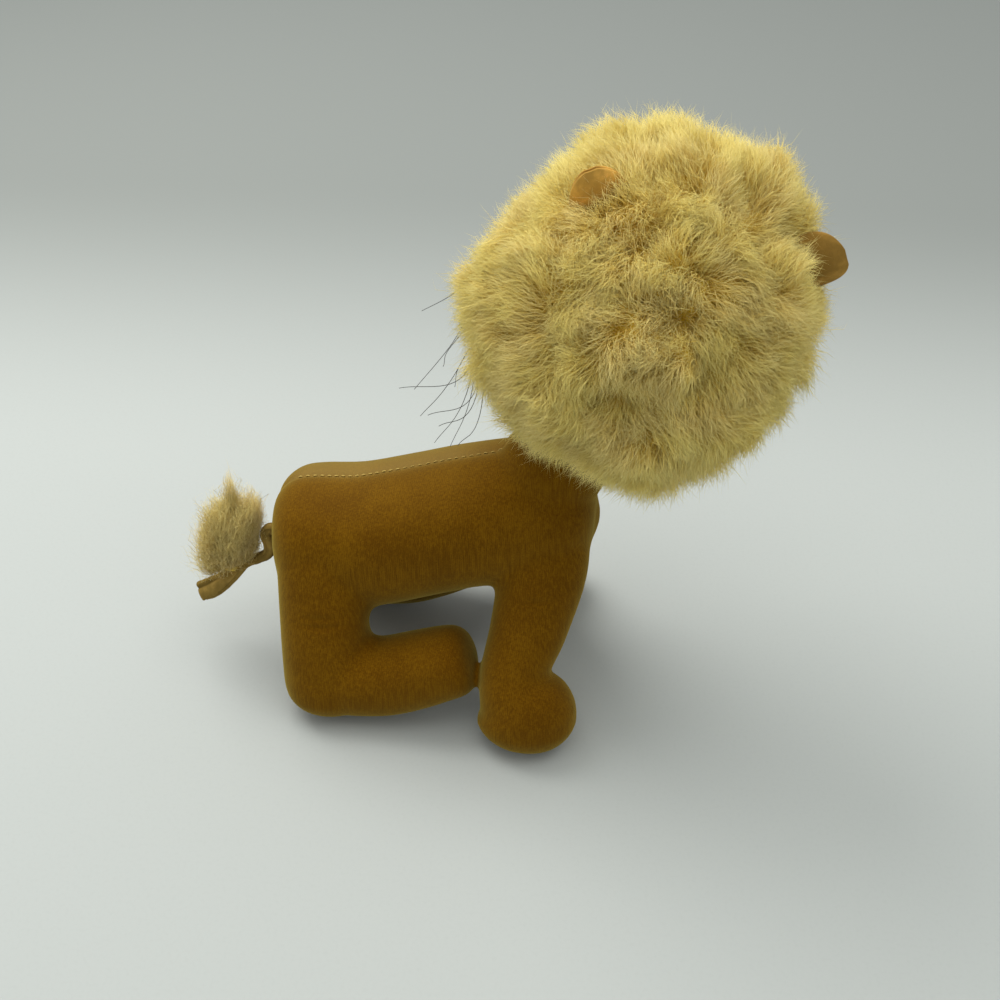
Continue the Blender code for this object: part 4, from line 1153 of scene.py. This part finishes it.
def set_eye(word, frame):
    """A domed dark bead in place of the plain one."""
    low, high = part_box(f"eye_{word}")
    centre = np.array((low + high) / 2)
    out = unit(centre - frame[:3, 3])
    side = unit(np.cross(out, frame[:3, 2]))
    turns = full_turn(40)
    rim = np.outer(np.cos(turns), side) + np.outer(np.sin(turns), np.cross(side, out))
    seat = centre - out * 0.0011
    profile = [(0.86, -0.0009), (0.97, -0.0006), (1.0, -0.0001)]
    profile += [(math.cos(a), EYE_HEIGHT * math.sin(a)) for a in np.linspace(0.08, 1.45, 14)]
    rings = [seat + out * lift + rim * EYE_RADIUS * share for share, lift in profile]
    form = closed_form(seat - out * 0.0009, rings, seat + out * EYE_HEIGHT)
    eye = new_object(f"eye_bead_{word}", glass_bead_finish(f"eye bead {word}"), *form)
    face_outward(eye.data)
    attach(eye, "head")
    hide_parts(f"eye_{word}")


# How much further out the left and the right ear stand, and how square their tips are
EAR_STAND = {1: -0.0031, -1: -0.0005}
EAR_SQUARENESS = {1: 2.0, -1: 4.6}


def ear_matrix(sizes, side):
    """An ear's own frame: X towards the face, Y across and Z out to its tip."""
    turn = Matrix.Rotation(sizes.ear_askew, 4, "X") @ Matrix.Rotation(-side * sizes.ear_side, 4, "X")
    turn = turn @ Matrix.Rotation(-sizes.ear_back, 4, "Y")
    return turn @ Matrix.Translation((0, 0, sizes.ear_seat + EAR_STAND[side]))


def ear_sheet(sizes, side, near, far, grow, rows=22, columns=26):
    """One cupped layer of an ear: a rounded petal with a thickness, and a soft rolled edge."""
    half, reach = sizes.ear_width / 2 + grow, sizes.ear_length + grow
    up = np.sin(np.linspace(0, math.pi / 2, rows + 1))[:, None]
    u = np.sin(np.linspace(-math.pi / 2, math.pi / 2, columns + 1))
    wide = half * np.sqrt(np.maximum(0, 1 - (0.985 * up) ** EAR_SQUARENESS[side]))
    thin = 1 - 0.75 * np.maximum(np.abs(u), up) ** 8
    cup = 0.0034 * (wide * u / half) ** 2 + 0.0020 * up**2
    middle = (near + far) / 2
    layers = [
        np.broadcast_arrays(middle + (x - middle) * thin + cup, wide * u, reach * up) for x in (near, far)
    ]
    points = np.stack(layers).transpose(0, 2, 3, 1).reshape(-1, 3)
    grid = np.arange((rows + 1) * (columns + 1)).reshape(rows + 1, columns + 1)
    corners = (grid[:-1, :-1], grid[:-1, 1:], grid[1:, 1:], grid[1:, :-1])
    sheet = np.stack([corner.ravel() for corner in corners], axis=1)
    rim = np.concatenate([grid[0], grid[1:, -1], grid[-1, -2::-1], grid[-2:0:-1, 0]])
    after = np.roll(rim, -1)
    hem = np.stack([rim, rim + grid.size, after + grid.size, after], axis=1)
    return points, np.vstack([sheet, sheet[:, ::-1] + grid.size, hem])


def make_ears(sizes, palette, frame):
    """Two layers to each ear, both of the ear's felted cloth."""
    # Painted light: the left ear's cloth is painted 1.7 times lighter than the right ear's, as it is lit and
    # the right one lies in shade; both are one cloth
    for side, word, lightened in ((1, "left", 1.7), (-1, "right", 1.0)):
        place = frame @ ear_matrix(sizes, side)
        for kind, cloth, near, far, grow in (
            ("back", "cloth", -0.0013, -0.0001, 0.0), ("lining", "felt", 0.0001, 0.0011, -0.0005)
        ):
            points, quads = ear_sheet(sizes, side, near, far, grow)
            finish = felt_finish(f"ear {cloth} {word}", toned(palette.ear, lightened))
            ear = new_object(f"ear_{kind}_cloth_{word}", finish, moved(place, points), quads)
            face_outward(ear.data)
            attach(ear, "head")
            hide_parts(f"ear_{kind}_{word}")


# Whiskers in the head's frame, in millimetres: where each leaves the cheek's fur, and its tip
WHISKERS_LEFT = (
    ((42, 33, -37), (31, 42, -37)), ((18, 35, -37), (-4, 46, -37)), ((17, 35, -36), (7, 38, -36)),
    ((7, 32, -37), (-5, 50, -37)), ((13, 32, -37), (1, 35, -37)), ((3, 36, -37), (-14, 45, -37)),
    ((0, 30, -37), (-13, 43, -37)), ((-3, 30, -38), (-15, 40, -38)), ((-4, 33, -37), (-23, 42, -37)),
    ((1, 30, -39), (-23, 38, -37)), ((-5, 28, -39), (-22, 36, -37)),
)
WHISKERS_RIGHT = (
    ((38, -28, -8), (31, -43, 1)), ((38, -29, -11), (28, -45, -4)), ((38, -28, -14), (26, -46, -8)),
    ((38, -27, -16), (25, -45, -12)), ((38, -26, -18), (26, -42, -16)), ((38, -24, -20), (28, -39, -19)),
    ((38, -22, -22), (30, -35, -22)), ((40, -24, -13), (34, -44, -10)), ((40, -21, -18), (36, -38, -20)),
)


def make_whiskers(sizes, frame):
    """Stiff thin threads from a knot on each cheek, each with a bow of its own."""
    chance = np.random.default_rng(5)
    front = math.sqrt(sizes.head_radius**2 - sizes.muzzle_drop**2)
    for side, word, rows in ((1, "left", WHISKERS_LEFT), (-1, "right", WHISKERS_RIGHT)):
        knot = face_points(sizes, (
            front + sizes.muzzle_reach * 0.30, side * (sizes.muzzle_width / 2 + 0.0002), -sizes.muzzle_drop
        ))
        out = unit(knot * (0.75, 1.6, 1.1))
        forms = []
        for waypoint, tip in np.array(rows) * 0.001:
            start = knot + chance.normal(0, 0.0004, 3) - (0.001, side * 0.0012, 0)
            bow = knot + out * 0.013 + (waypoint - knot) * 0.20 + (tip - waypoint) * 0.22
            bow += chance.normal(0, 0.0016, 3)
            fine = smooth_curve([start, bow, waypoint, tip], 12)
            radii = sizes.whisker_radius * np.linspace(1.0, 0.55, len(fine))
            forms.append(tube(moved(frame, fine), radii, 6))
        forms.append(placed(frame, ball_form(knot, (0.0009, 0.0007, 0.0009), 14, 9)))
        finish = thread_finish(f"whisker thread {word}", (0.065, 0.065, 0.060))
        threads = new_object(f"whisker_threads_{word}", finish, *joined(forms))
        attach(threads, "head")
        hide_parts(f"whiskers_{word}")


# Tail: the strip's middle line behind the rump, with its width and thickness, in millimetres
STRIP_LINE = (
    (0.4, 44.6, 3.2, 2.6), (-2.0, 45.8, 3.4, 3.0), (-3.3, 43.8, 3.4, 3.4), (-2.7, 40.0, 3.4, 3.5),
    (-3.4, 36.6, 3.4, 3.2), (-6.6, 34.4, 3.6, 2.8), (-10.4, 32.6, 4.0, 2.7), (-14.2, 28.4, 4.8, 2.8),
    (-18.2, 24.4, 5.6, 3.2), (-22.2, 21.4, 6.4, 3.9), (-25.1, 19.9, 6.2, 3.9),
)
# The tuft seen from the side: left and right edge at its foot, its middle and its crown
TUFT_LEFT = ((-23.0, 25.5), (-21.8, 32.4), (-19.6, 44.0), (-16.0, 56.0))
TUFT_RIGHT = ((-9.0, 34.0), (-7.2, 38.5), (-3.4, 47.0), (-2.6, 56.5))


def fold_strip(palette):
    """The tail's strip: velveteen folded over on itself, with the fold's groove along one side."""
    fine = smooth_curve(np.array(STRIP_LINE) * 0.001, 10)
    places = np.stack([RUMP.x + fine[:, 0], np.full(len(fine), RUMP.y), fine[:, 1]], axis=1)
    heading = unit(np.gradient(places, axis=0))
    out = np.cross(heading, (0, 1.0, 0))
    turns = full_turn(36)
    across, over = (np.sign(f(turns)) * np.abs(f(turns)) ** 0.75 / 2 for f in (np.cos, np.sin))
    across *= 1 - 0.42 * np.exp(-((turns - math.pi * 1.06) / 0.22) ** 2)
    over *= 1 - 0.60 * np.exp(-((turns - math.pi * 1.62) / 0.17) ** 2)
    rings = []
    for k, place in enumerate(places):
        x, y = across * fine[k, 2], over * fine[k, 3]
        wrinkle = 1 + 0.05 * math.sin(k * 0.9) + 0.035 * math.sin(k * 2.3 + 1)
        twist = 0.10 * math.sin(k * 0.17) - min(max(k / len(places) - 0.55, 0) / 0.3, 1)
        x, y = x * math.cos(twist) - y * math.sin(twist), x * math.sin(twist) + y * math.cos(twist)
        rings.append(place + np.outer(x, (0, wrinkle, 0)) + np.outer(y, out[k]))
    form = closed_form(places[0] - heading[0] * 0.0003, rings, places[-1] + heading[-1] * 0.0004)
    strip = new_object("tail_strip_cloth", felt_finish("tail cloth", palette.tail_cloth), *form)
    face_outward(strip.data)
    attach(strip, "tail")
    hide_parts("tail_strip")


# The tuft's core: how far up it each row is, its share of the tuft's width, and half its depth in mm
TUFT_CORE = ((0.02, 0.44, 2.0), (0.25, 0.46, 2.4), (0.5, 0.40, 2.1), (0.66, 0.30, 1.4), (0.78, 0.16, 0.8))
# Where the wisps end, from the middle of the rump's foot
WISP_TIP = (-0.0112, -0.0004, 0.0622)


def brush_tuft(sizes, palette):
    """The mohair tuft: a small core in fine brushed hair that stands up from the strip's end."""
    chance = np.random.default_rng(9)
    left, right = (smooth_curve(np.array(edge) * 0.001, 12) for edge in (TUFT_LEFT, TUFT_RIGHT))
    count = len(left)

    def inside(u, t, y):
        """Places in the tuft: u from left to right, t up it and y aside."""
        row = np.clip(t * (count - 1), 0, count - 1.001)
        k = row.astype(int)
        f = (row - k)[:, None]
        a, b = (edge[k] * (1 - f) + edge[k + 1] * f for edge in (left, right))
        flat = a + (b - a) * u[:, None]
        return np.stack([RUMP.x + flat[:, 0], RUMP.y + y, flat[:, 1]], axis=1)

    rows = []
    for t, share, deep in TUFT_CORE:
        low, middle, high = inside(np.array([0, 0.5, 1]), np.full(3, t), np.zeros(3))
        rows.append((*middle, deep * 0.001, np.linalg.norm(high - low) / 2 * share))
    core = new_object(
        "tuft_core", underfur_finish("tuft ground", palette), *sewn_form(rows, (0.0010, 0), (0.0004, 0), 36)
    )
    face_outward(core.data)
    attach(core, "tail")
    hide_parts("tail_tuft")

    amount = sizes.tuft_hairs
    u = chance.random(amount)
    t = 0.10 + chance.beta(1.1, 1.5, amount) * 0.62
    y = chance.normal(0, 0.0017, amount)
    root = inside(0.16 + 0.68 * u, t, y)
    reach = chance.uniform(0.20, 0.42, amount)
    strayed = chance.normal(0, 0.13, amount)
    tip_y = y + chance.normal(0, 0.0022, amount)
    wisp = chance.random(amount) < 0.022
    wisps = wisp.sum()
    tip = inside(u + (u - 0.5) * 0.25 + strayed, np.minimum(t + reach, 0.999), tip_y)
    tip += chance.normal(0, 0.0014, (amount, 3))
    tip[wisp] = chance.normal(0, 1, (wisps, 3)) * (0.0004, 0.0005, 0.0030) + WISP_TIP + np.array(RUMP)
    root[wisp] = inside(np.full(wisps, 0.42), chance.uniform(0.55, 0.8, wisps), y[wisp] * 0.5)
    bend = (root + tip) / 2 + chance.normal(0, 0.0023, (amount, 3))
    bend[wisp] = (root[wisp] + tip[wisp]) / 2 + chance.normal(0, 0.0005, (wisps, 3))
    for some in (root, bend, tip):
        limit = RUMP.x - 0.0028 - 0.0020 * np.clip((0.051 - some[:, 2]) / 0.004, 0, 1)
        limit -= np.abs(some[:, 1] - RUMP.y) * 0.9
        some[:, 0] = np.minimum(some[:, 0], limit)
    tints = chance.beta(1.5, 2.0, amount)
    material = mohair_finish("tuft mohair", palette.tuft, palette.tuft_deep)
    for k, mine in enumerate(np.array_split(np.arange(amount), 2)):
        spots = (root[mine], bend[mine], tip[mine])
        hair = grow_hairs(
            f"tuft_hair_{k + 1}", material, *spots, sizes.hair_radius * 0.72, TUFT_CRIMP, 31 + k, tints[mine]
        )
        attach(hair, "tail")


# Inside
def finish_inside():
    """Materials for the hidden parts of the neck joint."""
    finishes = {
        "neck_disc": board_finish("pressed board"),
        "neck_washer": steel_finish("punched steel"),
        "neck_cotter": steel_finish("drawn steel"),
    }
    for name, node in FRAME["nodes"].items():
        for start, material in finishes.items():
            if name.startswith(start):
                node.data.materials.clear()
                node.data.materials.append(material)


# Stage
# Where the photographer stood, from the middle of the rump's foot
CAMERA_PLACE = Vector((0.088997, -0.293297, 0.299174))
CAMERA_DOWN = math.radians(39)
CAMERA_YAW = math.radians(5)
CAMERA_LENS = 50.0
# Lamps with their places, sizes and powers, and what they light
LAMPS = (("window", (-0.34, 0.26, 0.70), 0.60, 3.7), ("ceiling", (0.10, -0.08, 1.05), 0.90, 3.5))
LIT_PLACE = (0, 0, 0.05)
FLOOR_REACH = 3.0


def floor_finish(palette):
    """A pale sheet, lit where the toy stands, with painted shade that darkens it far behind the toy, where a
    backdrop would turn up.
    """
    finish = Finish("pale sheet")
    behind = finish.add("ShaderNodeSeparateXYZ", {}, {"Vector": finish.spot}, "Y")
    # Painted shade: the floor goes over to the darker tone far behind the toy
    shade = finish.mix(finish.band(behind, 0.08, 0.31), palette.floor, palette.backdrop_shade)
    grain = finish.band(finish.noise(900, 2, 0.5), 0.45, 0.75) * 0.05
    return finish.done({
        "Base Color": finish.mix(grain, shade, palette.backdrop_shade), "Roughness": 0.75, "Specular IOR Level": 0.2,
    })


def stand(name, data, place, turn):
    """An object of the stage at its place."""
    thing = bpy.data.objects.new(name, data)
    thing.location = place
    thing.rotation_euler = turn
    bpy.context.scene.collection.objects.link(thing)
    return thing


def set_stage(palette):
    """The sheet, the light and the camera."""
    scene = bpy.context.scene
    sheet = [(x * FLOOR_REACH, y * FLOOR_REACH, 0) for x, y in ((-1, -1), (1, -1), (1, 1), (-1, 1))]
    floor = new_object("floor", floor_finish(palette), sheet, [(0, 1, 2, 3)])
    scene.world = bpy.data.worlds.new("room")
    scene.world.use_nodes = True
    air = scene.world.node_tree.nodes["Background"].inputs
    air["Color"].default_value = (0.97, 1.0, 1.0, 1)
    air["Strength"].default_value = 0.64
    for name, place, size, power in LAMPS:
        lamp = bpy.data.lights.new(name, "AREA")
        lamp.shape = "DISK"
        lamp.size = size
        lamp.energy = power
        lamp.color = (1.0, 0.985, 0.96)
        aim = Vector(LIT_PLACE) - Vector(place)
        stand(name, lamp, place, aim.to_track_quat("-Z", "Y").to_euler())
    lens = bpy.data.cameras.new("camera")
    lens.sensor_fit = "HORIZONTAL"
    lens.sensor_width = 36
    lens.lens = CAMERA_LENS
    lens.clip_start = 0.01
    scene.camera = stand("camera", lens, RUMP + CAMERA_PLACE, (math.pi / 2 - CAMERA_DOWN, 0, CAMERA_YAW))
    scene.view_settings.view_transform = "Standard"


# Operators
class LION_OT_body(bpy.types.Operator):
    """Sews the velveteen skin of the trunk, legs and feet, and its back seam"""

    bl_idname = "lion.body"
    bl_label = "Body"

    def execute(self, context):
        values = context.scene.stuffed_lion
        skin = dress_body(values.body, values.colours)
        sew_back_seam(values.body, values.colours, skin)
        return {"FINISHED"}


class LION_OT_face(bpy.types.Operator):
    """Makes the head's cloth, the muzzle, the nose, the mouth and the eyes"""

    bl_idname = "lion.face"
    bl_label = "Face"

    def execute(self, context):
        values = context.scene.stuffed_lion
        dress_face(values.head, values.colours, head_matrix(values.head))
        return {"FINISHED"}


class LION_OT_mane(bpy.types.Operator):
    """Lays the mohair cloth round the head and combs its pile"""

    bl_idname = "lion.mane"
    bl_label = "Mane"

    def execute(self, context):
        values = context.scene.stuffed_lion
        frame = head_matrix(values.head)
        noise.seed_set(MANE_SEED)
        lay_ground(values.head, values.colours, frame)
        comb_mane(values.head, values.colours, frame)
        return {"FINISHED"}


class LION_OT_ears(bpy.types.Operator):
    """Cuts and cups the two layers of each ear"""

    bl_idname = "lion.ears"
    bl_label = "Ears"

    def execute(self, context):
        values = context.scene.stuffed_lion
        make_ears(values.head, values.colours, head_matrix(values.head))
        return {"FINISHED"}


class LION_OT_whiskers(bpy.types.Operator):
    """Draws the whiskers through the cheeks"""

    bl_idname = "lion.whiskers"
    bl_label = "Whiskers"

    def execute(self, context):
        values = context.scene.stuffed_lion
        make_whiskers(values.head, head_matrix(values.head))
        return {"FINISHED"}


class LION_OT_tail(bpy.types.Operator):
    """Folds the tail's strip and brushes its tuft"""

    bl_idname = "lion.tail"
    bl_label = "Tail"

    def execute(self, context):
        values = context.scene.stuffed_lion
        fold_strip(values.colours)
        brush_tuft(values.head, values.colours)
        return {"FINISHED"}


class LION_OT_inside(bpy.types.Operator):
    """Finishes the discs, washers and pin inside the neck"""

    bl_idname = "lion.inside"
    bl_label = "Neck joint"

    def execute(self, context):
        finish_inside()
        return {"FINISHED"}


class LION_OT_stage(bpy.types.Operator):
    """Sets out the pale sheet, the soft light and the camera"""

    bl_idname = "lion.stage"
    bl_label = "Stage"

    def execute(self, context):
        values = context.scene.stuffed_lion
        set_stage(values.colours)
        return {"FINISHED"}


OPERATORS = (
    LION_OT_body, LION_OT_face, LION_OT_mane, LION_OT_ears, LION_OT_whiskers, LION_OT_tail, LION_OT_inside,
    LION_OT_stage,
)


class LION_PT_panel(bpy.types.Panel):
    """Lists the lion's pieces in the sidebar"""

    bl_label = "Stuffed lion"
    bl_idname = "LION_PT_panel"
    bl_space_type = "VIEW_3D"
    bl_region_type = "UI"
    bl_category = "Lion"

    def draw(self, context):
        for made in OPERATORS:
            self.layout.operator(made.bl_idname)
        values = context.scene.stuffed_lion
        for group in (values.body, values.head, values.colours):
            column = self.layout.column()
            for name in group.bl_rna.properties.keys():
                if name not in ("rna_type", "name"):
                    column.prop(group, name)


CLASSES = (LionBodySizes, LionHeadSizes, LionColours, StuffedLion, *OPERATORS, LION_PT_panel)


def register():
    for made in CLASSES:
        bpy.utils.register_class(made)
    bpy.types.Scene.stuffed_lion = PointerProperty(type=StuffedLion)


def unregister():
    del bpy.types.Scene.stuffed_lion
    for made in reversed(CLASSES):
        bpy.utils.unregister_class(made)


def main():
    register()
    for made in OPERATORS:
        group, name = made.bl_idname.split(".")
        getattr(getattr(bpy.ops, group), name)()


if __name__ == "__main__":
    main()
